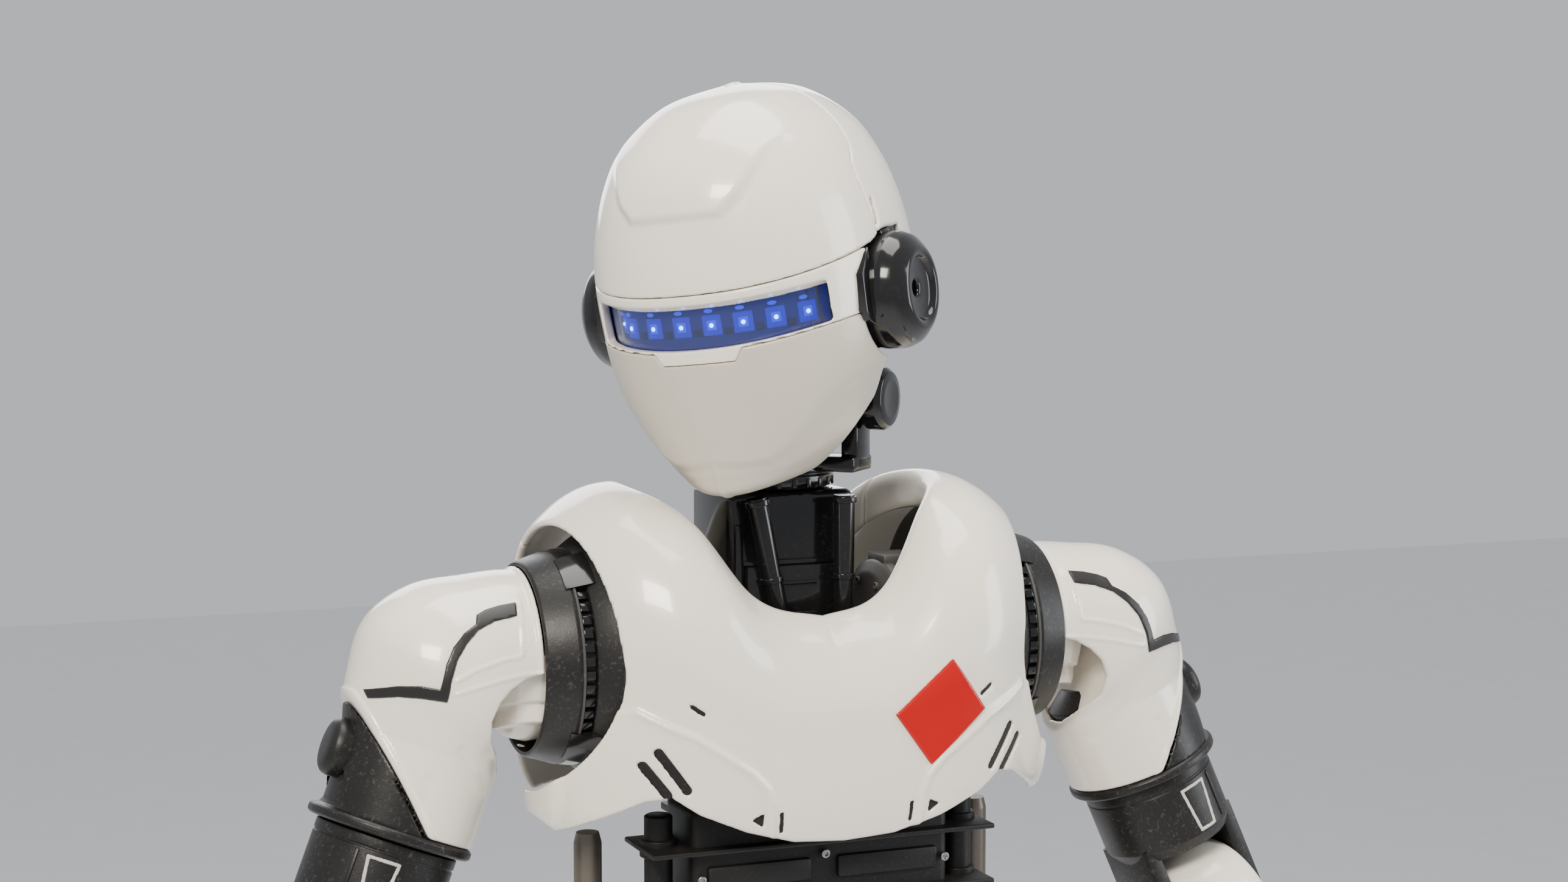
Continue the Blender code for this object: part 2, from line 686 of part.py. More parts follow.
def build_leg(frames, side, label):
    """Hip bracket, hip block, thigh, shin, ankle block and foot, each on its own axis."""
    bracket = box((-30, -46, -6.6), (30, 46, -1))
    hip = add_part(f"hip_bracket_{label}", bracket, frames["hip_yaw"], BLACK, side)
    plates = [box((-20, 39, -66), (20, 46, -1)), box((-20, -46, -66), (20, -39, -1))]
    combine(hip, "UNION", plates, frames["hip_yaw"], side)
    block = box((-29, -38, -64), (29, 38, 22), 4)
    add_part(f"hip_block_{label}", block, frames["hip_roll"], GREY, side)

    knee = (KNEE_Z - HIP_PITCH_Z) / MM
    thigh = frames["hip_pitch"]
    beam_rings = []
    for z, half_x, half_y in ((-48, 38, 30), (-70, 38, 32), (-200, 36, 30), (knee + 34, 34, 26)):
        beam_rings.append(oval(half_x * MM, half_y * MM, half_y * MM, 5, z * MM, 16))
    beam = add_part(f"thigh_frame_{label}", loft(beam_rings), thigh, BLACK, side)
    cheeks = [box((29.5, -20, -56), (38, 20, 20)), box((-38, -20, -56), (-29.5, 20, 20))]
    cheeks += [box((25, -20, knee - 20), (34, 20, knee + 42))]
    cheeks += [box((-34, -20, knee - 20), (-25, 20, knee + 42))]
    combine(beam, "UNION", cheeks, thigh, side)
    cover = leg_cover([(-62, 46, 42), (-80, 54, 54), (-150, 55, 58), (-230, 50, 52), (-300, 44, 40)])
    skin = add_part(f"thigh_cover_{label}", cover, thigh, WHITE, side, roughness=0.2)
    combine(skin, "DIFFERENCE", [box((-60, 18, -320), (60, 80, -50))], thigh, side)

    ankle = (ANKLE_PITCH_Z - KNEE_Z) / MM
    shin = frames["knee"]
    knuckle = cylinder(24, -24.6, 24.6, "X", count=20)
    frame = add_part(f"shin_frame_{label}", knuckle, shin, BLACK, side)
    shaft_rings = []
    for z, half_x, half_y in ((-16, 20, 16), (-50, 26, 26), (-180, 28, 26), (ankle + 40, 31, 20)):
        shaft_rings.append(oval(half_x * MM, half_y * MM, half_y * MM, 5, z * MM, 16))
    parts = [loft(shaft_rings)]
    parts.append(box((22, -14, ankle - 14), (31, 14, ankle + 44)))
    parts.append(box((-31, -14, ankle - 14), (-22, 14, ankle + 44)))
    combine(frame, "UNION", parts, shin, side)
    calf = leg_cover([(-44, 34, 34), (-70, 44, 42), (-140, 46, 50), (-220, 42, 40), (ankle + 62, 38, 32)])
    skin = add_part(f"shin_cover_{label}", calf, shin, WHITE, side, roughness=0.2)
    combine(skin, "DIFFERENCE", [box((-60, 20, -330), (60, 80, -30))], shin, side)

    block = box((-21.6, -17, -40), (21.6, 17, 12), 3)
    add_part(f"ankle_block_{label}", block, frames["ankle_pitch"], GREY, side)
    build_foot(frames["ankle_roll"], side, label)


def leg_cover(rows):
    """A white cover: a tube with a wall, round the leg's frame, in front and at the sides."""
    outer = []
    inner = []
    for z, half_x, half_y in rows:
        outer.append(oval(half_x * MM, half_y * MM, half_y * MM, 2.6, z * MM, 20))
        inset_x, inset_y = half_x * MM - WALL, half_y * MM - WALL
        inner.append(oval(inset_x, inset_y, inset_y, 2.6, z * MM, 20))
    return open_tube(outer, inner)


def build_foot(ankle_roll, side, label):
    """A flat sole with an upper that slopes to the toe, and two posts that hold the ankle block."""
    low = -ANKLE_ROLL_Z / MM
    heel = SOLE_LENGTH * HEEL_SHARE
    toe = SOLE_LENGTH - heel
    half = SOLE_WIDTH / 2
    rings = []
    for rise, width_share, toe_share, heel_share in FOOT_SHAPE:
        ring = oval(half * width_share, toe * toe_share, heel * heel_share, 3.4, (low + rise) * MM, 28)
        rings.append(ring)
    body = loft(rings)
    foot = add_part(f"foot_{label}", body, ankle_roll, WHITE, side, roughness=0.3)
    posts = [box((-15, 18, low + 30), (15, 26, 12)), box((-15, -26, low + 30), (15, -18, 12))]
    combine(foot, "UNION", posts, ankle_roll, side)


# ---------------------------------------------------------------- the whole robot

def mirrored_frame(place, turn, side):
    """The place and turn of a frame on the given side, from the ones for the left side."""
    flip = Matrix.Diagonal((side, 1, 1))
    return flip @ Vector(place), flip @ turn @ flip


def build_arm(torso, side, label):
    centre = Vector((0, SHOULDER_AXIS_Y, SHOULDER_AXIS_Z))
    place, turn = mirrored_frame(centre, Matrix.Identity(3), side)
    shoulder = add_frame(f"shoulder_pitch_{label}", torso, place, turn)
    hang = turned(-ARM_FORWARD, -ARM_SPREAD)
    place, turn = mirrored_frame((ARM_CENTRE_X, 0, 0), hang, side)
    arm = add_frame(f"shoulder_roll_{label}", shoulder, place, turn)
    middle = Vector((ARM_CENTRE_X, SHOULDER_AXIS_Y, SHOULDER_AXIS_Z))
    drop = turned(0, -ARM_SPREAD)
    arm_from_torso = (Matrix.Translation(middle) @ drop.to_4x4()).inverted()
    build_shoulder(shoulder, arm, arm_from_torso, side, label)
    place, turn = mirrored_frame((0, 0, LIP_Z), turned(0, 0, FOREARM_TURN), side)
    upper_arm = add_frame(f"upper_arm_yaw_{label}", arm, place, turn)
    arm_centre = add_frame(f"upper_arm_origin_{label}", upper_arm, (0, 0, -LIP_Z))
    build_upper_arm(arm_centre, side, label)
    place, turn = mirrored_frame((0, 0, ELBOW_Z), turned(-FOREARM_BEND), side)
    forearm = add_frame(f"elbow_{label}", arm_centre, place, turn)
    build_forearm(forearm, side, label)
    place, turn = mirrored_frame((0, 0, WRIST_Z), turned(0, 0, HAND_TURN), side)
    hand = add_frame(f"wrist_roll_{label}", forearm, place, turn)
    fingers = add_frame(f"finger_curl_{label}", hand, (0, 0, -92 * MM))
    place, turn = mirrored_frame((47 * MM, 0, -32 * MM), turned(math.radians(-12), math.radians(-14)), side)
    thumb = add_frame(f"thumb_curl_{label}", hand, place, turn)
    build_hand(hand, fingers, thumb, side, label)


def build_leg_frames(pelvis, side, label):
    steps = [
        ("hip_yaw", HIP_YAW_Z),
        ("hip_roll", HIP_ROLL_Z),
        ("hip_pitch", HIP_PITCH_Z),
        ("knee", KNEE_Z),
        ("ankle_pitch", ANKLE_PITCH_Z),
        ("ankle_roll", ANKLE_ROLL_Z),
    ]
    frames = {}
    parent, before, x = pelvis, 0.0, side * LEG_X
    for name, height in steps:
        frames[name] = add_frame(f"{name}_{label}", parent, (x, 0, height - before))
        parent, before, x = frames[name], height, 0.0
    return frames


def build_robot():
    pelvis = add_frame("pelvis", None, (0, BODY_Y, 0))
    build_pelvis(pelvis)
    torso_turn = add_frame("waist_yaw", pelvis, (0, 0, WAIST_Z))
    torso = add_frame("torso", torso_turn, (0, 0, CHEST_HEIGHT - WAIST_Z))
    build_shells(torso)
    build_torso(torso)
    build_neck_column(torso)
    yaw = add_frame("neck_yaw", torso, (0, 0, PITCH_AXIS_Z), turned(0, 0, HEAD_YAW))
    pitch = add_frame("neck_pitch", yaw, (0, 0, 0), turned(HEAD_NOD))
    roll = add_frame("neck_roll", pitch, (0, 0, 0), turned(0, HEAD_ROLL))
    nod_back = Matrix.Rotation(-HEAD_ROLL, 3, "Y") @ Matrix.Rotation(-HEAD_NOD, 3, "X")
    head = add_frame("head", roll, nod_back @ HEAD_CENTRE)
    build_neck(yaw, pitch)
    build_head(head)
    for side, label in ((1, "left"), (-1, "right")):
        build_arm(torso, side, label)
        build_leg(build_leg_frames(pelvis, side, label), side, label)


for leftover in list(bpy.data.objects):
    bpy.data.objects.remove(leftover)
build_robot()
bpy.context.view_layer.update()
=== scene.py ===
"""The looks of the life-size walking humanoid robot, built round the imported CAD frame.

Lengths are in millimetres in each piece's own axes, and become metres when a piece is made.
Left-side pieces are drawn once and reflected for the right side.
"""

import json
import math

import bmesh
import bpy
import numpy as np
from mathutils import Matrix, Vector


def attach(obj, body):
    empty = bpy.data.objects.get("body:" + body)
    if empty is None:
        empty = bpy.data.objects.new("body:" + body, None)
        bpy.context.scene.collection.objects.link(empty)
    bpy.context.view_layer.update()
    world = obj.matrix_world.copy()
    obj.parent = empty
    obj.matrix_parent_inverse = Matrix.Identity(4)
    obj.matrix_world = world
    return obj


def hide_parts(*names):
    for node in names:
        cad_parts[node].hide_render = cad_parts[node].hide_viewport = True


MM = 0.001
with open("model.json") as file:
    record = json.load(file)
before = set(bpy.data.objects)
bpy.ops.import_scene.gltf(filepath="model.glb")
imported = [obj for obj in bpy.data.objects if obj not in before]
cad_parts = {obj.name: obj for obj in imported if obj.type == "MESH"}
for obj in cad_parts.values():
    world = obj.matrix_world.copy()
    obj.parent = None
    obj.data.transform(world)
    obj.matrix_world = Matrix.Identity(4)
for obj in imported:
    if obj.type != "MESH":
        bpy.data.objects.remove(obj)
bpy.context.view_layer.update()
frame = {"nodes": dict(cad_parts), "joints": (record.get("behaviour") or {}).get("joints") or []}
LEAST_SLOPE_SQUARED = 0.04
joints = {joint["name"]: joint for joint in frame["joints"]}


# ---------------------------------------------------------------- places in the frame

def axes_place(origin, x_axis, y_axis, z_axis):
    """A matrix from a piece's own axes, in millimetres, to the row frame, in metres."""
    columns = Matrix((x_axis, y_axis, z_axis)).transposed().to_4x4()
    return Matrix.Translation(Vector(origin)) @ columns @ Matrix.Scale(MM, 4)


def joint_origin(name):
    return Vector(joints[name]["pos_m"])


def joint_axis(name):
    return Vector(joints[name]["axis"]).normalized()


def upright(origin):
    return axes_place(origin, Vector((1, 0, 0)), Vector((0, 1, 0)), Vector((0, 0, 1)))


def joint_place(origin, x_axis, z_axis):
    x_axis, z_axis = x_axis.normalized(), z_axis.normalized()
    y_axis = z_axis.cross(x_axis).normalized()
    return axes_place(origin, x_axis, y_axis, z_axis)


# the chest's reference point is 12 mm above and in front of the shoulder axis
SHOULDER_Y = -12
SHOULDER_Z = -12
waist = joint_origin("waist_yaw")
shoulder_height = joint_origin("shoulder_pitch_left").z
CHEST_AT = Vector((0, waist.y, shoulder_height - SHOULDER_Z * MM))
CHEST = upright(CHEST_AT)
PELVIS = upright((0, waist.y, 0))

HEAD_ROLL = math.radians(-5.5)
HEAD_CENTRE = Vector((0, -19.6, 62))
neck_pivot = joint_origin("neck_roll")
head_y = joint_axis("neck_roll")
head_x = Matrix.Rotation(HEAD_ROLL, 3, head_y) @ joint_axis("neck_pitch")
yaw_z = Vector((0, 0, 1))
yaw_x = joint_axis("neck_pitch")
YAW = joint_place(neck_pivot, yaw_x, yaw_z)
head_origin = YAW @ HEAD_CENTRE
HEAD = axes_place(head_origin, head_x, head_y, head_x.cross(head_y))
CROSS = axes_place(neck_pivot, yaw_x, head_y, yaw_x.cross(head_y))

arm_z = joint_axis("upper_arm_yaw_left")
arm_y = -joint_axis("shoulder_roll_left")
SLEEVE = axes_place(joint_origin("shoulder_roll_left"), arm_y.cross(arm_z), arm_y, arm_z)
elbow_x = -joint_axis("elbow_left")
forearm_z = joint_axis("wrist_roll_left")
arm_origin = joint_origin("shoulder_roll_left")
UPPER_ARM = joint_place(arm_origin, elbow_x, arm_z)
FOREARM = joint_place(joint_origin("elbow_left"), elbow_x, forearm_z)
hand_x = -joint_axis("finger_curl_left")
HAND = joint_place(joint_origin("wrist_roll_left"), hand_x, forearm_z)
HIP_YAW = upright(joint_origin("hip_yaw_left"))
HIP_ROLL = upright(joint_origin("hip_roll_left"))
HIP_PITCH = upright(joint_origin("hip_pitch_left"))
KNEE = upright(joint_origin("knee_left"))
ANKLE_PITCH = upright(joint_origin("ankle_pitch_left"))
ANKLE_ROLL = upright(joint_origin("ankle_roll_left"))


# ---------------------------------------------------------------- signed distances

def soft_max(a, b, size):
    """The larger of two distances, with a fillet about as wide as size where they meet."""
    share = np.clip(0.5 + 0.5 * (a - b) / size, 0, 1)
    return b + (a - b) * share + size * share * (1 - share)


def soft_min(a, b, size):
    return -soft_max(-a, -b, size)


def cut(shape, hole, size=1.0):
    return soft_max(shape, -hole, size)


def smooth_step(value, low, high):
    t = np.clip((value - low) / (high - low), 0, 1)
    return t * t * (3 - 2 * t)


def hump(away, width):
    """A smooth bump, 1 high where the distance is nought."""
    return np.exp(-((away / width) ** 2))


def within(outline, edge):
    """1 inside an outline and 0 outside it, with a slope at its edge."""
    return 1 - smooth_step(outline, -edge, edge)


def curve(rows, key):
    """Smooth columns through a table whose rows start with their key."""
    rows = np.array(rows, float)
    keys, values = rows[:, 0], rows[:, 1:]
    slopes = np.gradient(values, keys, axis=0)
    key = np.asarray(key, float)
    i = np.clip(np.searchsorted(keys, key) - 1, 0, len(keys) - 2)
    step = keys[i + 1] - keys[i]
    t = np.clip((key - keys[i]) / step, 0, 1)
    early, late = (1 + 2 * t) * (1 - t) ** 2, t * t * (3 - 2 * t)
    leave, arrive = t * (1 - t) ** 2 * step, t * t * (t - 1) * step
    columns = range(values.shape[1])
    return [
        early * values[i, m] + leave * slopes[i, m] + late * values[i + 1, m] + arrive * slopes[i + 1, m]
        for m in columns
    ]


def block(x, y, z, low, high, edge=0.0):
    """A box between two corners whose edges are rounded."""
    distances = []
    for value, a, b in zip((x, y, z), low, high):
        distances.append(np.abs(value - (a + b) / 2) - ((b - a) / 2 - edge))
    outside = np.sqrt(sum(np.maximum(d, 0) ** 2 for d in distances))
    inside = np.minimum(np.maximum(np.maximum(distances[0], distances[1]), distances[2]), 0)
    return outside + inside - edge


def stroke(u, v, points):
    """Distance in a plane to a line through several points."""
    best = None
    for (u0, v0), (u1, v1) in zip(points, points[1:]):
        length = (u1 - u0) ** 2 + (v1 - v0) ** 2
        t = np.clip(((u - u0) * (u1 - u0) + (v - v0) * (v1 - v0)) / length, 0, 1)
        away = np.hypot(u - u0 - t * (u1 - u0), v - v0 - t * (v1 - v0))
        best = away if best is None else np.minimum(best, away)
    return best


def polygon(u, v, points):
    """Signed distance in a plane to a closed outline, negative inside."""
    best, sign = None, 1.0
    for (u0, v0), (u1, v1) in zip(points, points[1:] + points[:1]):
        length = (u1 - u0) ** 2 + (v1 - v0) ** 2
        t = np.clip(((u - u0) * (u1 - u0) + (v - v0) * (v1 - v0)) / length, 0, 1)
        away = (u - u0 - t * (u1 - u0)) ** 2 + (v - v0 - t * (v1 - v0)) ** 2
        best = away if best is None else np.minimum(best, away)
        above = (v >= v0) != (v >= v1)
        if v1 != v0:
            crosses = above & (u < u0 + (v - v0) * (u1 - u0) / (v1 - v0))
            sign = np.where(crosses, -sign, sign)
    return sign * np.sqrt(best)


def oval_level(u, v, half_u, half_v, power):
    """A value that is 1 on a superellipse, and its slope along each coordinate."""
    pu, pv = np.abs(u / half_u), np.abs(v / half_v)
    level = (pu**power + pv**power + 1e-9) ** (1 / power)
    fall = level ** (1 - power)
    return level, fall * pu ** (power - 1) / half_u, fall * pv ** (power - 1) / half_v


def oval_distance(u, v, half_u, half_v, power):
    """About the distance in a plane to a superellipse."""
    level, slope_u, slope_v = oval_level(u, v, half_u, half_v, power)
    return (level - 1) / np.maximum(np.hypot(slope_u, slope_v), 1e-4)


# ---------------------------------------------------------------- meshes from distances

CORNERS = [(i, j, k) for i in (0, 1) for j in (0, 1) for k in (0, 1)]


def net(shape, low, high, cell):
    """Quads on the surface where a shape's distance is nought, moved on to it exactly."""
    axes = [np.arange(a - cell, b + 2 * cell, cell) for a, b in zip(low, high)]
    grids = np.meshgrid(*axes, indexing="ij", sparse=True)
    values = np.broadcast_to(shape(*grids), [len(axis) for axis in axes])
    inside = values < 0
    size = [n - 1 for n in values.shape]
    count = np.zeros(size, np.int8)
    for i, j, k in CORNERS:
        count += inside[i:i + size[0], j:j + size[1], k:k + size[2]]
    active = (count > 0) & (count < 8)
    index = np.full(active.shape, -1)
    index[active] = np.arange(active.sum())
    cells = np.argwhere(active)
    total, hits = np.zeros(cells.shape), np.zeros(len(cells))
    for a in CORNERS:
        for b in CORNERS:
            if sum(b) - sum(a) != 1 or any(q < p for p, q in zip(a, b)):
                continue
            va = values[tuple((cells + a).T)]
            vb = values[tuple((cells + b).T)]
            crossing = (va < 0) != (vb < 0)
            t = np.where(crossing, va / np.where(crossing, va - vb, 1), 0)
            point = np.array(a) + t[:, None] * (np.array(b) - np.array(a))
            total[crossing] += point[crossing]
            hits[crossing] += 1
    points = (cells + total / hits[:, None]) * cell + [axis[0] for axis in axes]
    points = settle(points, shape, cell)
    quads = []
    for d in range(3):
        e, f = (d + 1) % 3, (d + 2) % 3
        start = [slice(None)] * 3
        end = [slice(None)] * 3
        start[d], end[d] = slice(0, -1), slice(1, None)
        starts, ends = inside[tuple(start)], inside[tuple(end)]
        for changed, flip in ((starts & ~ends, False), (~starts & ends, True)):
            at = np.argwhere(changed)
            keep = (at[:, e] > 0) & (at[:, f] > 0) & (at[:, e] < size[e]) & (at[:, f] < size[f])
            at = at[keep]
            corners = []
            for de, df in ((0, 0), (-1, 0), (-1, -1), (0, -1)):
                moved = at.copy()
                moved[:, e] += de
                moved[:, f] += df
                corners.append(index[tuple(moved.T)])
            quad = np.stack(corners, axis=1)
            quads.append(quad[:, ::-1] if flip else quad)
    return points, np.concatenate(quads)


def slope_at(points, shape, reach=0.05):
    value = shape(*points.T)
    slope = np.empty(points.shape)
    for axis in range(3):
        moved = points.copy()
        moved[:, axis] += reach
        slope[:, axis] = (shape(*moved.T) - value) / reach
    return value, slope


def settle(points, shape, cell, level=0.0, rounds=3):
    """Moves points along a shape's slope until its distance there is the level."""
    for _ in range(rounds):
        value, slope = slope_at(points, shape)
        steep = np.maximum((slope**2).sum(axis=1), LEAST_SLOPE_SQUARED)
        move = (value - level) / steep
        far = np.linalg.norm(slope, axis=1) * np.abs(move)
        move *= np.minimum(1, 0.7 * cell / np.maximum(far, 1e-9))
        points = points - slope * move[:, None]
    return points


# ---------------------------------------------------------------- pieces

MESHED = {}
SIDES = ((1, "left"), (-1, "right"))


def make_piece(name, points, faces, place, body, material, side=1, smooth=True, replaced=()):
    """One visible mesh from points in a piece's own axes, riding on a body.

    It stands for the CAD node of its own name, if there is one, or for the nodes given.
    """
    if not replaced and name in frame["nodes"]:
        replaced = [name]
    matrix = np.array(place)
    points = points @ matrix[:3, :3].T + matrix[:3, 3]
    reflected = np.linalg.det(matrix[:3, :3]) < 0
    if side < 0:
        points = points * (-1, 1, 1)
    if reflected != (side < 0):
        faces = [face[::-1] for face in faces]
    mesh = bpy.data.meshes.new(name)
    mesh.vertices.add(len(points))
    mesh.vertices.foreach_set("co", np.ascontiguousarray(points, np.float32).ravel())
    sizes = np.array([len(face) for face in faces])
    corners = np.concatenate(faces)
    mesh.loops.add(len(corners))
    mesh.loops.foreach_set("vertex_index", np.ascontiguousarray(corners, np.int32))
    mesh.polygons.add(len(sizes))
    starts = np.concatenate([[0], np.cumsum(sizes)[:-1]])
    mesh.polygons.foreach_set("loop_start", starts.astype(np.int32))
    mesh.update(calc_edges=True)
    mesh.validate()
    mesh.shade_smooth()
    if not smooth:
        mesh.set_sharp_from_angle(angle=math.radians(32))
    mesh.materials.append(material)
    made = bpy.data.objects.new(name, mesh)
    bpy.context.scene.collection.objects.link(made)
    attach(made, body)
    if replaced:
        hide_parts(*replaced)
    return made


def from_shape(name, shape, low, high, cell, place, body, material, side=1):
    """A piece netted round a distance; its mirror image uses the same net."""
    key = (name.replace("_right", "_left"), cell)
    if key not in MESHED:
        MESHED[key] = net(shape, low, high, cell)
    points, faces = MESHED[key]
    return make_piece(name, points, faces, place, body, material, side)


class Solids:
    """Collects bevelled and turned solids, in millimetres, into one mesh."""

    def __init__(self):
        self.bm = bmesh.new()

    def add(self, part, matrix=None):
        if matrix is not None:
            bmesh.ops.transform(part, matrix=matrix, verts=part.verts)
        mesh = bpy.data.meshes.new("part")
        part.to_mesh(mesh)
        part.free()
        self.bm.from_mesh(mesh)
        bpy.data.meshes.remove(mesh)
        return self

    def join(self, other, side):
        """Takes in another group of solids, reflected in X on the right side."""
        if side < 0:
            bmesh.ops.transform(other.bm, matrix=Matrix.Diagonal((-1, 1, 1, 1)), verts=other.bm.verts)
            bmesh.ops.reverse_faces(other.bm, faces=other.bm.faces)
        return self.add(other.bm)

    def box(self, low, high, edge=1.0, matrix=None, segments=2):
        part = bmesh.new()
        bmesh.ops.create_cube(part, size=1)
        low, high = Vector(low), Vector(high)
        bmesh.ops.scale(part, vec=high - low, verts=part.verts)
        bmesh.ops.translate(part, vec=(low + high) / 2, verts=part.verts)
        if edge:
            bmesh.ops.bevel(
                part, geom=part.edges[:], offset=edge, segments=segments, profile=0.5, affect="EDGES",
            )
        return self.add(part, matrix)

    def slab(self, outline, low, high, edge=0.6, matrix=None, segments=2):
        """An outline in X and Y, given a thickness along Z and rounded edges."""
        part = bmesh.new()
        rings = [[part.verts.new((u, v, level)) for u, v in outline] for level in (low, high)]
        count = len(outline)
        for i in range(count):
            j = (i + 1) % count
            part.faces.new((rings[0][i], rings[0][j], rings[1][j], rings[1][i]))
        part.faces.new(rings[0][::-1])
        part.faces.new(rings[1])
        bmesh.ops.recalc_face_normals(part, faces=part.faces)
        if edge:
            rims = [e for e in part.edges if abs(e.verts[0].co.z - e.verts[1].co.z) < 1e-6]
            bmesh.ops.bevel(part, geom=rims, offset=edge, segments=segments, profile=0.5, affect="EDGES")
        return self.add(part, matrix)

    def lathe(self, profile, matrix=None, fillet=1.0, count=64, start=0.0, sweep=360.0, power=2.0, flat=1.0):
        """Turns (along, radius) points about Z, with rounded corners in the profile."""
        part = bmesh.new()
        profile = rounded(profile, fillet)
        whole = sweep >= 360
        steps = count if whole else count + 1
        rings = []
        for along, radius in profile:
            ring = []
            for i in range(steps):
                angle = math.radians(start + sweep * i / count)
                c, s = math.cos(angle), math.sin(angle)
                if power != 2:
                    c = math.copysign(abs(c) ** (2 / power), c)
                    s = math.copysign(abs(s) ** (2 / power), s)
                ring.append(part.verts.new((radius * c, radius * s * flat, along)))
            rings.append(ring)
        for a, b in zip(rings, rings[1:]):
            for i in range(count):
                j = (i + 1) % steps
                part.faces.new((a[i], a[j], b[j], b[i]))
        if whole:
            part.faces.new(rings[0][::-1])
            part.faces.new(rings[-1])
        else:
            part.faces.new([ring[0] for ring in rings])
            part.faces.new([ring[-1] for ring in rings][::-1])
            bmesh.ops.remove_doubles(part, verts=part.verts, dist=1e-4)
        bmesh.ops.recalc_face_normals(part, faces=part.faces)
        return self.add(part, matrix)

    def sweep(self, path, radius, count=16):
        """A round bar along a smooth path."""
        part = bmesh.new()
        path = [Vector(point) for point in path]
        rings, up = [], Vector((0.3, 0.2, 0.93))
        for i, point in enumerate(path):
            ahead = (path[min(i + 1, len(path) - 1)] - path[max(i - 1, 0)]).normalized()
            out = up.cross(ahead).normalized()
            up = ahead.cross(out)
            ring = []
            for k in range(count):
                angle = 2 * math.pi * k / count
                ring.append(part.verts.new(point + (out * math.cos(angle) + up * math.sin(angle)) * radius))
            rings.append(ring)
        for a, b in zip(rings, rings[1:]):
            for i in range(count):
                j = (i + 1) % count
                part.faces.new((a[i], a[j], b[j], b[i]))
        part.faces.new(rings[0][::-1])
        part.faces.new(rings[-1])
        bmesh.ops.recalc_face_normals(part, faces=part.faces)
        return self.add(part)

    def piece(self, name, place, body, material, side=1, slot=None, replaced=()):
        points = np.array([v.co for v in self.bm.verts], float)
        self.bm.verts.index_update()
        faces = [np.array([v.index for v in f.verts]) for f in self.bm.faces]
        return make_piece(name, points, faces, place, body, material, side, False, replaced)


def rounded(profile, fillet, steps=4):
    """A polyline whose inner corners are replaced by short curves."""
    if not fillet:
        return profile
    points = [Vector(point) for point in profile]
    smooth = [points[0]]
    for before, here, after in zip(points, points[1:], points[2:]):
        reach = min(fillet, (here - before).length * 0.45, (after - here).length * 0.45)
        enter = here + (before - here).normalized() * reach
        leave = here + (after - here).normalized() * reach
        for k in range(steps + 1):
            t = k / steps
            smooth.append(enter * (1 - t) ** 2 + here * 2 * t * (1 - t) + leave * t * t)
    smooth.append(points[-1])
    return [tuple(point) for point in smooth]


TO_X = Matrix.Rotation(math.radians(90), 4, "Y")
TO_Y = Matrix.Rotation(math.radians(-90), 4, "X")
TO_FRONT = Matrix.Rotation(math.radians(90), 4, "X")


def moved(x, y, z):
    return Matrix.Translation((x, y, z))


# ---------------------------------------------------------------- materials

def add_node(tree, kind, **values):
    made = tree.nodes.new(kind)
    for name, value in values.items():
        if name in made.inputs:
            made.inputs[name].default_value = value
        else:
            setattr(made, name, value)
    return made


def noise(tree, place, scale, detail=3.0, roughness=0.5, stretch=None):
    """A noise value in the row frame, stretched along an axis when asked."""
    source = place.outputs["Object"]
    if stretch:
        mapping = add_node(tree, "ShaderNodeMapping", Scale=stretch)
        tree.links.new(source, mapping.inputs["Vector"])
        source = mapping.outputs["Vector"]
    made = add_node(tree, "ShaderNodeTexNoise", Scale=scale, Detail=detail, Roughness=roughness)
    tree.links.new(source, made.inputs["Vector"])
    return made.outputs["Fac"]


def ranged(tree, value, low, high, to_low, to_high):
    made = add_node(tree, "ShaderNodeMapRange")
    for name, number in (("From Min", low), ("From Max", high), ("To Min", to_low), ("To Max", to_high)):
        made.inputs[name].default_value = number
    tree.links.new(value, made.inputs["Value"])
    return made.outputs["Result"]


def mixed(tree, share, first, second):
    made = add_node(tree, "ShaderNodeMix", data_type="RGBA")
    tree.links.new(share, made.inputs["Factor"])
    colours = [s for s in made.inputs if s.type == "RGBA"]
    for socket, value in zip(colours, (first, second)):
        if isinstance(value, tuple):
            socket.default_value = (*value, 1)
        else:
            tree.links.new(value, socket)
    return [s for s in made.outputs if s.type == "RGBA"][0]


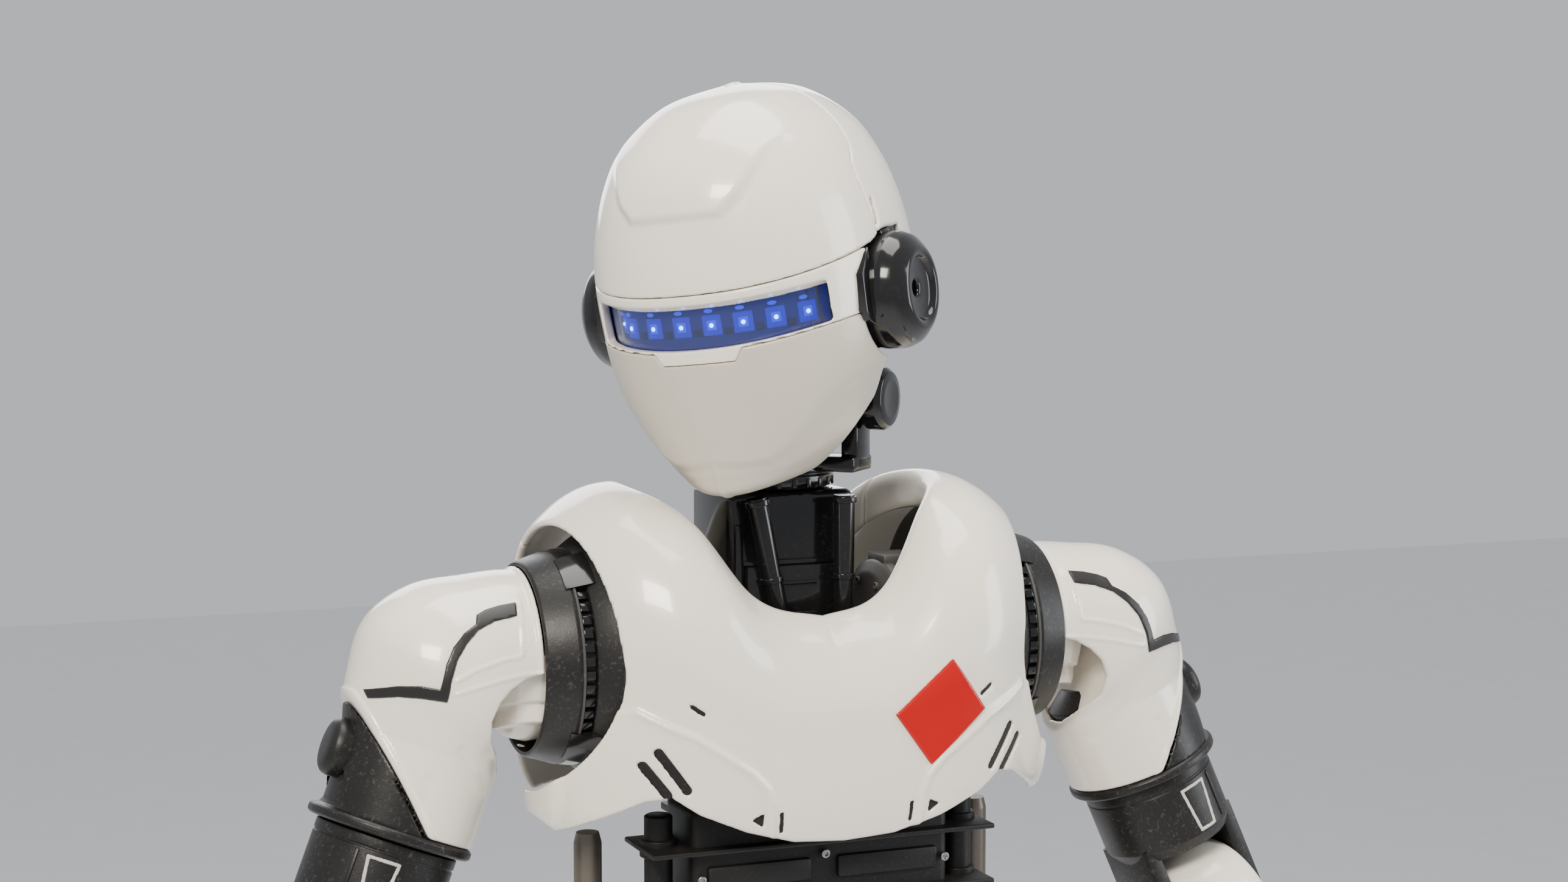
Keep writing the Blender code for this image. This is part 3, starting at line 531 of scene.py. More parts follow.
def plastic(
    name, colour, roughness, coat=0.0, dust=0.0, dust_colour=(0.35, 0.33, 0.29), scratch=0.0,
    tone=0.05, grain=0.02, grain_scale=900.0, metallic=0.0, spread=0.08, specular=0.5,
):
    """Moulded plastic: uneven tone, fine grain, dust in patches and faint scratches."""
    made = bpy.data.materials.new(name)
    made.use_nodes = True
    tree = made.node_tree
    shader = tree.nodes["Principled BSDF"]
    place = add_node(tree, "ShaderNodeTexCoord")
    broad = noise(tree, place, 9.0, 4.0)
    darker = tuple(c * (1 - tone) for c in colour)
    lighter = tuple(min(c * (1 + tone), 1) for c in colour)
    shade = mixed(tree, ranged(tree, broad, 0.35, 0.65, 0, 1), darker, lighter)
    rough = ranged(tree, noise(tree, place, 26.0, 5.0, 0.6), 0.3, 0.7, roughness, roughness + spread)
    if dust:
        specks = noise(tree, place, 420.0, 2.0, 0.7)
        patches = noise(tree, place, 16.0, 5.0, 0.65)
        product = add_node(tree, "ShaderNodeMath", operation="MULTIPLY")
        tree.links.new(ranged(tree, specks, 0.56, 0.74, 0, 1), product.inputs[0])
        tree.links.new(ranged(tree, patches, 0.38, 0.72, 0.15, 1), product.inputs[1])
        amount = ranged(tree, product.outputs[0], 0, 1, 0, dust)
        shade = mixed(tree, amount, shade, dust_colour)
    if scratch:
        lines = noise(tree, place, 60.0, 3.0, 0.7, stretch=(1.0, 14.0, 0.5))
        more = noise(tree, place, 50.0, 3.0, 0.7, stretch=(12.0, 0.6, 1.4))
        for source in (lines, more):
            shade = mixed(tree, ranged(tree, source, 0.68, 0.78, 0, scratch), shade, dust_colour)
    tree.links.new(shade, shader.inputs["Base Color"])
    tree.links.new(rough, shader.inputs["Roughness"])
    shader.inputs["Metallic"].default_value = metallic
    shader.inputs["Coat Weight"].default_value = coat
    shader.inputs["Coat Roughness"].default_value = 0.06
    shader.inputs["Specular IOR Level"].default_value = specular
    bump = add_node(tree, "ShaderNodeBump", Strength=grain, Distance=0.0006)
    tree.links.new(noise(tree, place, grain_scale, 2.0), bump.inputs["Height"])
    tree.links.new(bump.outputs["Normal"], shader.inputs["Normal"])
    return made


WHITE = plastic(
    "white_gloss", (0.87, 0.81, 0.70), 0.2, coat=0.55, dust=0.10,
    dust_colour=(0.42, 0.36, 0.28), tone=0.02, grain=0.015, grain_scale=240.0,
)
MASK = plastic(
    "mask_satin", (0.56, 0.51, 0.425), 0.3, coat=0.25, dust=0.10,
    dust_colour=(0.3, 0.26, 0.2), tone=0.025, grain=0.05, grain_scale=700.0,
)
BLACK = plastic(
    "black_satin", (0.011, 0.0105, 0.010), 0.33, dust=0.20, scratch=0.16,
    specular=0.32, tone=0.15, grain=0.10, spread=0.14,
)
DEEP_BLACK = plastic(
    "black_moulded", (0.009, 0.0085, 0.008), 0.42, specular=0.3, dust=0.08, tone=0.12,
    grain=0.12, spread=0.1,
)
GLOSS_BLACK = plastic(
    "black_gloss", (0.007, 0.007, 0.0075), 0.10, coat=0.25, specular=0.32, dust=0.05,
    scratch=0.03, tone=0.1, grain=0.01, spread=0.06,
)
GREY = plastic("motor_grey", (0.055, 0.052, 0.05), 0.38, dust=0.1, tone=0.08, grain=0.08)
ROD = plastic(
    "rod_grey", (0.16, 0.14, 0.115), 0.36, dust=0.15, scratch=0.08, tone=0.08,
    metallic=0.55, grain=0.04,
)
STEEL = plastic(
    "screw_steel", (0.36, 0.35, 0.34), 0.28, tone=0.06, metallic=1.0, grain=0.03,
    scratch=0.1,
)
RED = plastic(
    "red_gloss", (0.46, 0.0005, 0.0005), 0.14, coat=0.2, specular=0.3, tone=0.04,
    grain=0.01, grain_scale=300.0,
)
INK = plastic("line_black", (0.012, 0.011, 0.010), 0.30, tone=0.1, grain=0.02)
MARK = plastic(
    "mark_white", (0.55, 0.53, 0.48), 0.4, dust=0.3, tone=0.05, grain=0.05,
    dust_colour=(0.1, 0.1, 0.09),
)
RUBBER = plastic(
    "sole_rubber", (0.02, 0.02, 0.02), 0.62, dust=0.35, tone=0.1, grain=0.25,
    grain_scale=500.0,
)


# ---------------------------------------------------------------- chest and back

# half width: depth in front, depth behind, middle height, rise above it, fall below it
TORSO_SHAPE = [
    (0, 113, 104, -45, 76, 95),
    (40, 113, 104, -42, 84, 96),
    (70, 111, 102, -28, 106, 108),
    (95, 104, 98, -12, 96, 120),
    (115, 92, 88, -8, 88, 120),
    (130, 79, 76, -8, 79, 113),
    (145, 62, 58, -8, 64, 105),
    (155, 48, 44, -8, 46, 94),
    (160, 24, 22, -8, 20, 60),
]
SHELL_WALL = 3.6
RING_CUT_RADIUS = 73.5
RING_CUT_X = 88
NECK_HALF_X, NECK_HALF_Y, NECK_Y = 90, 66, -5
WING_LINE = [(116, -31), (103, -38), (88, -44.5), (72, -55), (57, -65), (48, -74.5), (44.5, -85), (43, -108)]
WING_PANEL = WING_LINE + [(43, -140), (175, -140), (175, -31)]
CHEST_EDGE = [(0, -109), (30, -107), (58, -99), (84, -88), (98, -78.5), (111, -81), (127, -91), (147, -104)]
CHEST_SLOTS = [[(105.5, -53), (91, -74)], [(112.8, -60.5), (100.5, -77)]]
CHEST_DASHES = [[(89.5, -27.5), (83, -32)], [(39, -89.5), (38.6, -99.5)]]
CHEST_TRIANGLE = [(57, -91.5), (49, -88), (49, -97)]


def torso_level(x, y, z):
    front, back, middle, rise, fall = curve(TORSO_SHAPE, np.abs(x))
    depth = np.where(y < 0, front, back)
    up = z - middle
    height = np.where(up > 0, rise, fall)
    power = 4.0 - 1.9 * smooth_step(up, -40, 25)
    return oval_level(y, up, depth, height, power)


def torso_skin(x, y, z):
    """About the distance to the outside of the torso's shells."""
    level, slope_y, slope_z = torso_level(x, y, z)
    aside, _, _ = torso_level(x + 0.5, y, z)
    steep = np.sqrt(((aside - level) / 0.5) ** 2 + slope_y**2 + slope_z**2)
    return (level - 1) / np.maximum(steep, 2e-3)


def torso_shell(x, y, z, skin):
    """The skin turned in round the neck hole and both shoulders, with a wall of one thickness."""
    ring_hole = soft_max(
        np.hypot(y - SHOULDER_Y, z - SHOULDER_Z) - RING_CUT_RADIUS, RING_CUT_X - np.abs(x), 4,
    )
    neck_hole = soft_max(oval_distance(x, y - NECK_Y, NECK_HALF_X, NECK_HALF_Y, 2), -z - 40, 4)
    body = cut(cut(skin, ring_hole, 4), neck_hole, 9)
    wall = soft_max(body, -(body + SHELL_WALL), 1.2)
    near_neck = smooth_step(-neck_hole, -14, -8)
    return soft_max(wall, -(skin + 6 + 17 * near_neck), 2)


def chest_front(x, z):
    """Distance to the chest shell's outline, as seen from the front."""
    edge = [(-165, 140), (-165, -90)] + [(-a, b) for a, b in reversed(CHEST_EDGE[1:])] + CHEST_EDGE
    return polygon(x, z, edge + [(165, -90), (165, 140)])


def chest_shape(x, y, z):
    skin = torso_skin(x, y, z)
    ax = np.abs(x)
    panel = polygon(ax, z, WING_PANEL)
    ridge = stroke(ax, z, WING_LINE)
    lift = 0.8 * within(panel, 0.9) + 1.9 * hump(ridge, 2.1)
    shell = torso_shell(x, y, z, skin - lift * smooth_step(-y, 10, 30))
    front = chest_front(x, z)
    side = polygon(y, z, [(-140, -150), (-14, -150), (-14, 14), (34, 14), (34, 140), (-140, 140)])
    shape = soft_max(soft_max(shell, front, 2.0), side, 1.6)
    for points in CHEST_SLOTS:
        shape = cut(shape, np.maximum(stroke(ax, z, points) - 2.4, y + 60), 0.7)
    for points in CHEST_DASHES:
        shape = cut(shape, np.maximum(stroke(ax, z, points) - 1.1, y + 60), 0.5)
    return cut(shape, np.maximum(polygon(ax, z, CHEST_TRIANGLE) + 0.2, y + 60), 0.5)


def chest_inlay_shape(x, y, z):
    """Black infills a little below the chest's skin, in its slots, dashes and triangles."""
    skin = torso_skin(x, y, z)
    ax = np.abs(x)
    marks = polygon(ax, z, CHEST_TRIANGLE) + 0.1
    for points in CHEST_SLOTS:
        marks = np.minimum(marks, stroke(ax, z, points) - 2.5)
    for points in CHEST_DASHES:
        marks = np.minimum(marks, stroke(ax, z, points) - 1.2)
    front = chest_front(x, z) + 0.4
    layer = np.maximum(skin + 0.7, -(skin + 3.4))
    return soft_max(np.maximum(layer, front), np.maximum(marks, y + 60), 0.2)


def back_shape(x, y, z):
    skin = torso_skin(x, y, z)
    ax = np.abs(x)
    spine = oval_distance(x, z + 26, 22, 62, 4)
    pack = polygon(ax, z, [(0, 22), (58, 22), (74, 2), (66, -74), (0, -80), (-9, -80), (-9, 22)])
    lift = 2.2 * within(pack, 1.6) - 2.6 * within(spine, 1.5)
    shell = torso_shell(x, y, z, skin - lift * smooth_step(y, 30, 50))
    front = soft_max(np.abs(x) - 165, -104 - z, 2)
    side = polygon(y, z, [(-13.4, -150), (140, -150), (140, 140), (34.6, 140), (34.6, 13.4), (-13.4, 13.4)])
    shape = soft_max(soft_max(shell, front, 2.0), side, 1.6)
    under_arm = polygon(ax, z, [(106, -130), (110, -64), (122, -44), (175, -44), (175, -130)])
    shape = cut(shape, np.maximum(under_arm, y - 62), 2.0)
    for level in range(6):
        z_slot = -12 - 9 * level
        slot = stroke(ax, z, [(34, z_slot), (58 - 1.2 * level, z_slot + 4)]) - 1.7
        shape = cut(shape, np.maximum(slot, 50 - y), 0.7)
    port = np.hypot(x, z - 4) - 7
    grip = block(x, y, z, (-13, 50, -74), (13, 130, -62), 4)
    return cut(cut(shape, np.maximum(port, 50 - y), 0.8), grip, 0.8)


def label_shape(x, y, z):
    """A domed rhombus stuck on the chest."""
    skin = torso_skin(x, y, z)
    outline = polygon(x, z, [(63.9, -10.3), (85.3, -40.1), (49.6, -68.9), (27.6, -39.1)])
    return soft_max(soft_max(skin - 1.5, outline, 1.4), -(skin + 0.6), 0.4)


from_shape("chest_shell", chest_shape, (-158, -117, -112), (158, 36, 86), 1.5, CHEST, "torso", WHITE)
from_shape("back_shell", back_shape, (-158, -15, -106), (158, 108, 80), 1.7, CHEST, "torso", WHITE)
from_shape(
    "chest_inlays", chest_inlay_shape, (-118, -120, -105), (118, -58, -22), 0.9, CHEST, "torso",
    DEEP_BLACK,
)
from_shape("chest_label", label_shape, (25, -120, -72), (88, -100, -8), 0.8, CHEST, "torso", RED)


# ---------------------------------------------------------------- head

HEAD_SHAPE = [
    (-106, 20, 80, 4),
    (-102, 34, 85, 20),
    (-92, 49, 89, 44),
    (-76, 63, 91, 66),
    (-56, 75, 93, 82),
    (-34, 83, 95, 92),
    (-8, 86, 97, 97),
    (18, 86, 98, 99),
    (44, 82, 95, 97),
    (68, 74, 88, 91),
    (88, 63, 76, 80),
    (104, 46, 56, 62),
    (114, 27, 33, 40),
    (118, 10, 10, 20),
]
HEAD_SQUARES = [(z, a * a, b * b, c * c) for z, a, b, c in HEAD_SHAPE]
HEAD_POWER = 2.25
HEAD_WALL = 3.2
REAR_SEAM = [(-15, 20), (-15, 60), (-12.7, 67), (-6, 74), (-1.4, 83), (6, 102), (15, 125)]
FOREHEAD = [(-27, 54), (27, 54), (36, 63), (51, 92), (51, 130), (-51, 130), (-51, 92), (-36, 63)]
CHEEK = [
    (0, -82), (14, -83.5), (29, -84), (41, -78), (50, -69), (57, -60), (66, -52), (78, -45), (100, -42),
    (100, -130), (0, -130),
]
EAR_Y, EAR_Z = -4, -6.6
LED_X = [-53.5, -45.5, -27.2, -8.6, 9.6, 26.8, 42.5, 55.8]


def head_level(x, y, z):
    half, front, back = [np.sqrt(np.maximum(value, 9)) for value in curve(HEAD_SQUARES, z)]
    depth = np.where(y < 0, front, back)
    return oval_level(x, y, half, depth, HEAD_POWER)


def head_skin(x, y, z):
    level, slope_x, slope_y = head_level(x, y, z)
    above, _, _ = head_level(x, y, z + 0.5)
    steep = np.sqrt(((above - level) / 0.5) ** 2 + slope_x**2 + slope_y**2)
    skin = (level - 1) / np.maximum(steep, 8e-3)
    return soft_max(soft_max(skin, z - 117.6, 9), -105.6 - z, 5)


def head_wall(skin, thick=HEAD_WALL):
    return soft_max(skin, -(skin + thick), 1.0)


def brow(y):
    return 13 + 0.15 * (y + 95)


def visor_low(x):
    return -19.3 + 0.0011 * x * x


def mask_top(x):
    notch = (np.abs(x - 2.5) - 21.5) * 1.5 - 25.5
    return np.minimum(visor_low(x), np.maximum(notch, -25.5))


def head_rear_line(z):
    return curve([(z_at, y_at) for y_at, z_at in REAR_SEAM], z)[0]


def without_ears(shape, x, y, z, radius=35.5):
    ear = np.maximum(np.hypot(y - EAR_Y, z - EAR_Z) - radius, 68 - np.abs(x))
    return cut(shape, ear, 1.0)


def helmet_shape(x, y, z):
    skin = head_skin(x, y, z)
    panel = polygon(x, z, FOREHEAD)
    fade = 1 - smooth_step(z, 64, 100)
    lift = 3.4 * (1 - smooth_step(panel, -3.6, 3.0)) * fade * smooth_step(-y, 20, 44)
    shape = head_wall(skin - lift)
    shape = soft_max(shape, brow(y) - z, 1.4)
    shape = soft_max(shape, y - head_rear_line(z), 1.2)
    return without_ears(shape, x, y, z)


def rear_shape(x, y, z):
    skin = head_skin(x, y, z)
    panel = oval_distance(x, z - 20, 40, 62, 3.2)
    lift = 1.6 * within(panel, 2) * smooth_step(y, 30, 50)
    shape = head_wall(skin - lift)
    front = head_rear_line(z) + 0.7
    shape = soft_max(shape, front - y, 1.2)
    shape = soft_max(shape, np.where(y < 15.6, 28 - z, -36 - z), 1.2)
    vent = stroke(y, z, [(-10.2, 45.5), (-12.2, 33)]) - 1.5
    shape = cut(shape, np.maximum(vent, 60 - np.abs(x)), 0.5)
    for level in range(5):
        slot = stroke(x, z, [(-18 + level, -12 + 8 * level), (18 - level, -12 + 8 * level)]) - 1.6
        shape = cut(shape, np.maximum(slot, 60 - y), 0.6)
    return without_ears(shape, x, y, z)


def frame_shape(x, y, z):
    """The white frame round the visor: a lip under the brow, and a ledge beneath the mask's notch."""
    skin = head_skin(x, y, z)
    under = 2.6 * (1 - smooth_step(z - mask_top(x), -0.3, 0.3))
    outside = soft_max(skin, skin + under, 0.6)
    lip = 7.6 + 0.0007 * x * x
    roof = lip + 0.62 * np.minimum(skin, 0)
    window = np.maximum(z - roof, visor_low(x) + 1.3 - z)
    window = soft_max(window, np.abs(x - 2) - 68.2, 2.2)
    shape = soft_max(outside, -(skin + 6.2), 0.8)
    shape = cut(shape, window, 1.0)
    shape = soft_max(soft_max(shape, z - brow(y) + 0.5, 1.3), -29 - z, 1.0)
    shape = soft_max(shape, y + 31, 1.0)
    return without_ears(shape, x, y, z, 36.5)


def mask_shape(x, y, z):
    skin = head_skin(x, y, z)
    ax = np.abs(x)
    low = polygon(ax, z, CHEEK)
    lift = -1.9 * (1 - smooth_step(low, -4, 3))
    ridge = stroke(ax, z, [(11, -30), (10, -46), (2, -66)])
    lift = lift + 0.5 * hump(ridge, 6)
    shape = head_wall(skin - lift, 3.6)
    shape = soft_max(shape, z - mask_top(x) + 0.25, 1.1)
    rear = polygon(y, z, [(-13.2, 0), (-13.2, -64), (-50, -130), (-160, -130), (-160, 0)])
    shape = soft_max(shape, rear, 1.2)
    return without_ears(shape, x, y, z, 36.5)


def skin_frame(x, z, inset):
    """A place on the front of the head, below its skin, whose Z axis points out."""
    half, front, _ = [float(np.sqrt(value)) - inset for value in curve(HEAD_SQUARES, z)]
    y = -front * (1 - abs(x / half) ** HEAD_POWER) ** (1 / HEAD_POWER)
    aside = abs(x / half) ** (HEAD_POWER - 1) / half * math.copysign(1, x)
    ahead = -abs(y / front) ** (HEAD_POWER - 1) / front
    out = Vector((aside, ahead, 0)).normalized()
    up = Vector((0, 0, 1))
    turn = Matrix((up.cross(out), up, out)).transposed().to_4x4()
    return Matrix.Translation((x, y, z)) @ turn


def lens_sheet(outer=6.7, inner=8.4, columns=72, rows=14):
    """A curved pane under the head's skin, as a closed grid of quads."""
    points, faces = [], []
    for inset in (outer, inner):
        for j in range(rows + 1):
            for i in range(columns + 1):
                spot = skin_frame(-71.5 + 143 * i / columns, -22 + 31.5 * j / rows, inset).to_translation()
                points.append(tuple(spot))
    wide, layer = columns + 1, (columns + 1) * (rows + 1)
    for j in range(rows):
        for i in range(columns):
            a = j * wide + i
            faces.append((a, a + 1, a + 1 + wide, a + wide))
            faces.append((a + layer, a + wide + layer, a + 1 + wide + layer, a + 1 + layer))
    edge = [i for i in range(columns)] + [columns + j * wide for j in range(rows)]
    edge += [rows * wide + columns - i for i in range(columns)] + [(rows - j) * wide for j in range(rows)]
    for a, b in zip(edge, edge[1:] + edge[:1]):
        faces.append((b, a, a + layer, b + layer))
    return np.array(points), np.array(faces)


def glowing(name, colour, strength, spread=0.25):
    """A glowing material whose brightness is uneven: the LEDs' own light, and painted reflections of it."""
    made = plastic(name, tuple(0.2 * c for c in colour), 0.4, tone=0.1)
    tree = made.node_tree
    shader = tree.nodes["Principled BSDF"]
    place = add_node(tree, "ShaderNodeTexCoord")
    patch = ranged(tree, noise(tree, place, 300.0, 2.0), 0.3, 0.7, 1 - spread, 1 + spread)
    shade = mixed(tree, patch, tuple(0.5 * c for c in colour), colour)
    tree.links.new(shade, shader.inputs["Emission Color"])
    shader.inputs["Emission Strength"].default_value = strength
    return made


GLASS = plastic(
    "visor_glass", (0.40, 0.50, 1.0), 0.04, specular=0.3, tone=0.04, grain=0.004,
    spread=0.03,
)
GLASS.node_tree.nodes["Principled BSDF"].inputs["Transmission Weight"].default_value = 0.96
GLOW_LOW = glowing("led_board_glow", (0.0, 0.005, 0.20), 0.5)
GLOW_MIDDLE = glowing("led_package_glow", (0.0, 0.004, 0.95), 0.65)
# glow of the LED rings, also used for the painted reflections of the LEDs above the strip
GLOW_RING_AND_REFLECTION = glowing("led_ring_glow_and_reflection", (0.0, 0.06, 1.0), 1.5)
GLOW_DIE = glowing("led_die_glow", (0.10, 0.62, 1.0), 14.0, 0.1)

from_shape("helmet_shell", helmet_shape, (-89, -104, 10), (89, 20, 121), 1.3, HEAD, "head", WHITE)
from_shape("head_rear_shell", rear_shape, (-88, -18, -38), (88, 103, 121), 1.7, HEAD, "head", WHITE)
from_shape("face_frame", frame_shape, (-88, -100, -31), (88, -28, 26), 1.0, HEAD, "head", WHITE)
from_shape("face_mask", mask_shape, (-86, -100, -108), (86, -10, -10), 1.15, HEAD, "head", MASK)
points, faces = lens_sheet()
make_piece("visor_lens", points, faces, HEAD, "head", GLASS)

board = Solids()
for x in range(-62, 63, 4):
    board.box((-2.5, -13.5, -1), (2.5, 13.5, 0), 0, skin_frame(x, -8, 13))
board.piece("led_board", HEAD, "head", GLOW_LOW, replaced=["led_strip"])
packages, wells, dies, spacers, glints = Solids(), Solids(), Solids(), Solids(), Solids()
for i, x in enumerate(LED_X):
    z = -6.0 if i else -4.0
    seat = skin_frame(x, z, 12.2)
    packages.box((-5.4, -5.6, -0.6), (5.4, 5.6, 0.6), 0.5, seat)
    wells.box((-2.6, -2.6, 0.5), (2.6, 2.6, 0.9), 0.3, seat)
    foot, top = (1.0, 1.0) if i == 0 else (1.25, 1.2)
    dies.lathe([(0.8, 0.6), (0.9, foot), (1.5, top), (1.6, 0.4)], seat, 0.2, 12)
    if 0 < i < len(LED_X) - 1:
        between = skin_frame((x + LED_X[i + 1]) / 2, z - 3.8, 12)
        spacers.box((-2.3, -2.2, -0.5), (2.3, 1.8, 1.0), 0.3, between)
    # painted reflections of the LEDs: small flattened glowing blobs just above the strip, which give no
    # light of their own
    above = skin_frame(x, 2.2, 10.5) @ Matrix.Diagonal((1.7, 0.75, 1, 1))
    glints.lathe([(0.0, 1.2), (0.3, 1.6), (0.5, 0.8)], above, 0.2, 16)
packages.piece("led_packages", HEAD, "head", GLOW_MIDDLE)
wells.piece("led_wells", HEAD, "head", GLOW_RING_AND_REFLECTION)
dies.piece("led_dies", HEAD, "head", GLOW_DIE)
spacers.piece("led_spacers", HEAD, "head", DEEP_BLACK, slot="led_strip")
# painted reflections of the LEDs, not lamps
glints.piece("led_glints", HEAD, "head", GLOW_RING_AND_REFLECTION)

skull = Solids().box((-34, -52, -44), (34, 55, 66), 6)
for z in (-24, 0, 24, 48):
    skull.box((-35, -50, z - 1.5), (35, 53, z + 1.5), 0.6)
skull.lathe([(-69, 10), (-68, 14), (68, 14), (69, 10)], moved(0, EAR_Y, EAR_Z) @ TO_X, 1, 32)
skull.piece("skull_frame", HEAD, "head", DEEP_BLACK)

for side, label in SIDES:
    ear = Solids()
    at_ear = moved(0, EAR_Y, EAR_Z) @ TO_X
    ear.lathe(
        [
            (70, 22), (71, 31), (80, 33), (90.5, 33), (97, 30.2), (100.5, 26.2), (102.6, 23), (103, 21),
            (102.4, 18.6), (99.2, 17), (98.4, 12), (98, 4.6), (94, 4.2),
        ],
        at_ear, 2.2, 72,
    )
    ear.lathe([(69, 24), (70, 32.0), (77, 32.6), (78, 30)], at_ear, 0.5, 10, start=14)
    ear.slab(
        [(-44, -11), (-41, -17), (-30, -23), (-30, 22), (-34, 19), (-43, 9)], 66, 84, 1.2,
        TO_X @ Matrix.Rotation(math.radians(90), 4, "Z"),
    )
    ear.box((72, -9, 22), (84, 5, 28.5), 2)
    own_side = HEAD @ Matrix.Diagonal((side, 1, 1, 1))
    ear.piece(f"ear_disc_{label}", own_side, "head", GLOSS_BLACK)


# ---------------------------------------------------------------- neck

collar = Solids().lathe(
    [
        (-52.5, 30), (-52, 32.5), (-48.5, 35), (-44.6, 35), (-44, 34), (-43, 34), (-42.4, 35),
        (-38.5, 35), (-35.5, 30),
    ],
    fillet=0.8, count=72,
)
for step in range(24):
    angle = step * math.tau / 24
    collar.box((34.2, -1.4, -51), (35.6, 1.4, -46), 0.4, Matrix.Rotation(angle, 4, "Z"))
for side in (1, -1):
    arm = Solids()
    arm.box((46, -9, -42), (57, 12, 8), 2.5)
    arm.box((20, -14, -42), (57, 14, -33), 2)
    arm.lathe(
        [
            (45, 9), (46, 12.2), (49.4, 12.8), (49.8, 10.2), (51.6, 10.2), (52, 13.6), (55.2, 14.6),
            (55.6, 11.6), (57.8, 12), (58.6, 15.4), (61.5, 18), (70.5, 18), (73.6, 15.4), (74.2, 11),
            (73.6, 4),
        ],
        TO_X, 0.7, 48,
    )
    collar.join(arm, side)
collar.piece("neck_yoke", YAW, "neck", GLOSS_BLACK)
cross = Solids().box((-45.5, -12, -11), (45.5, 12, 11), 2.5)
for x in (-30, -10, 10, 30):
    cross.box((x - 6, -12.8, -7), (x + 6, 12.8, 7), 1)
cross.lathe([(-24, 5), (-23, 7), (0, 7)], TO_Y, 0.6, 32)
cross.piece("neck_cross", CROSS, "gimbal", GREY)

column = Solids().box((-39, -30, -25.5), (39, 32, 78), 5, segments=4)
column.box((-30, -36, -20), (30, -28, 36), 1.6)
column.box((-31.4, -33.2, 36), (31.4, -28, 39), 0.8)
for x in (-33.5, 33.5):
    column.box((x - 2.4, -33, -18), (x + 2.4, -28, 60), 0.9)
for z in (-10, 8, 26):
    column.box((-12, -37.6, z - 1.2), (12, -35, z + 1.2), 0.5)
column.box((-52, -36, -25), (-40, -10, 2), 1.5)
column.piece("neck_column", CHEST, "torso", GLOSS_BLACK)
for side, label in SIDES:
    foot = Vector((26 if side > 0 else 8, -43.5, -20))
    top = Vector((27, -42.5, 76))
    tube = Solids()
    tube.sweep([foot.lerp(top, t / 8) for t in range(9)], 6, 28)
    for at, radius in ((0.0, 7.4), (0.5, 6.7), (0.96, 7.2)):
        middle = foot.lerp(top, at)
        turn = (top - foot).to_track_quat("Z", "Y").to_matrix().to_4x4()
        tube.lathe(
            [(-0.5, 5), (-0.4, radius), (3, radius), (3.1, 5)], Matrix.Translation(middle) @ turn, 0.5,
            28,
        )
    tube.piece(f"neck_tube_{label}", CHEST, "torso", GLOSS_BLACK, side)


# ---------------------------------------------------------------- inside and below the chest

# distance along the axis in depths, radius in radii
SCREW_HEAD = [(-1, 0.9), (0, 1), (0.8, 1), (1, 0.86), (1, 0.5), (0.3, 0.45)]


def screw(solids, x, y, z, radius, turn=None, depth=1.6):
    """A cap screw's head with a socket, facing along Z until it is turned."""
    profile = [(depth * along, radius * across) for along, across in SCREW_HEAD]
    place = moved(x, y, z) @ (turn or Matrix.Identity(4))
    solids.lathe(profile, place, radius * 0.12, 18)


for side, label in SIDES:
    motor = Solids()
    at_motor = moved(0, -12, -12) @ TO_X
    motor.lathe(
        [
            (55, 30), (55.6, 38), (59, 44.5), (61, 46), (66, 46), (66.5, 45), (68, 45), (68.5, 46),
            (84, 46), (85, 44), (94.5, 40),
        ],
        at_motor, 1.4, 72,
    )
    for step in range(8):
        angle = math.radians(22.5 + 45 * step)
        screw(
            motor, 55.4, -12 + 34 * math.cos(angle), -12 + 34 * math.sin(angle), 2.4,
            TO_X @ Matrix.Rotation(math.pi, 4, "X"),
        )
    motor.box((60, -24, 30), (82, 0, 37), 2)
    motor.piece(f"shoulder_motor_{label}", CHEST, "torso", GREY, side)

spine = Solids().box((-44, 8, -255), (44, 66, -26), 4)
spine.box((-54, -42, -62), (54, 30, -26), 3)
spine.box((-130, -70, -261), (130, 60, -246), 4)
for z in range(-236, -110, 14):
    spine.box((-46.5, 14, z), (46.5, 68, z + 5), 1.2)
for x in (-112, -60, 60, 112):
    for y in (-60, 48):
        screw(spine, x, y, -245.6, 3.2)
spine.piece("torso_frame", CHEST, "torso", DEEP_BLACK)

PLATE_LEVELS = (-116, -148, -180, -212)
belly = Solids().box((-78, -76, -244), (78, -30, -92), 5, segments=3)
for z in PLATE_LEVELS:
    belly.box((-104, -84, z), (104, -34, z + 3), 1)
    belly.box((-70, -79, z - 21), (-8, -70, z - 8), 2)
    belly.box((8, -79, z - 21), (70, -70, z - 8), 2)
for x in (-92, 92):
    belly.lathe([(-244, 6), (-243, 8), (-97, 8), (-96, 6)], moved(x, -58, 0), 0.8, 32)
    for z in PLATE_LEVELS:
        belly.lathe([(z - 4, 8), (z - 3.6, 10.5), (z + 6, 10.5), (z + 6.4, 8)], moved(x, -58, 0), 0.6, 32)
belly.piece("abdomen_frame", CHEST, "torso", DEEP_BLACK)
bolts = Solids()
for z in PLATE_LEVELS:
    for x in (-74, 0, 74):
        screw(bolts, x, -79, z - 14.5 if x else z - 6, 2.6, TO_FRONT)
bolts.piece("abdomen_screws", CHEST, "torso", STEEL)
for side, label in SIDES:
    rod = Solids().lathe([(-245.5, 6), (-244.5, 8), (-118, 8), (-112, 6.5)], moved(121, -20, 0), 1, 36)
    rod.lathe([(-245, 10), (-244, 12), (-232, 12), (-230, 9)], moved(121, -20, 0), 0.8, 36)
    rod.piece(f"waist_rod_{label}", CHEST, "torso", ROD, side)


# ---------------------------------------------------------------- shoulders and arms

HANG = Matrix.Translation((199, SHOULDER_Y, SHOULDER_Z)) @ Matrix.Rotation(math.radians(-22), 4, "Y")
DRAWN = SLEEVE @ HANG.inverted()
ARMPIT_X, ARMPIT_Z = 163, -78
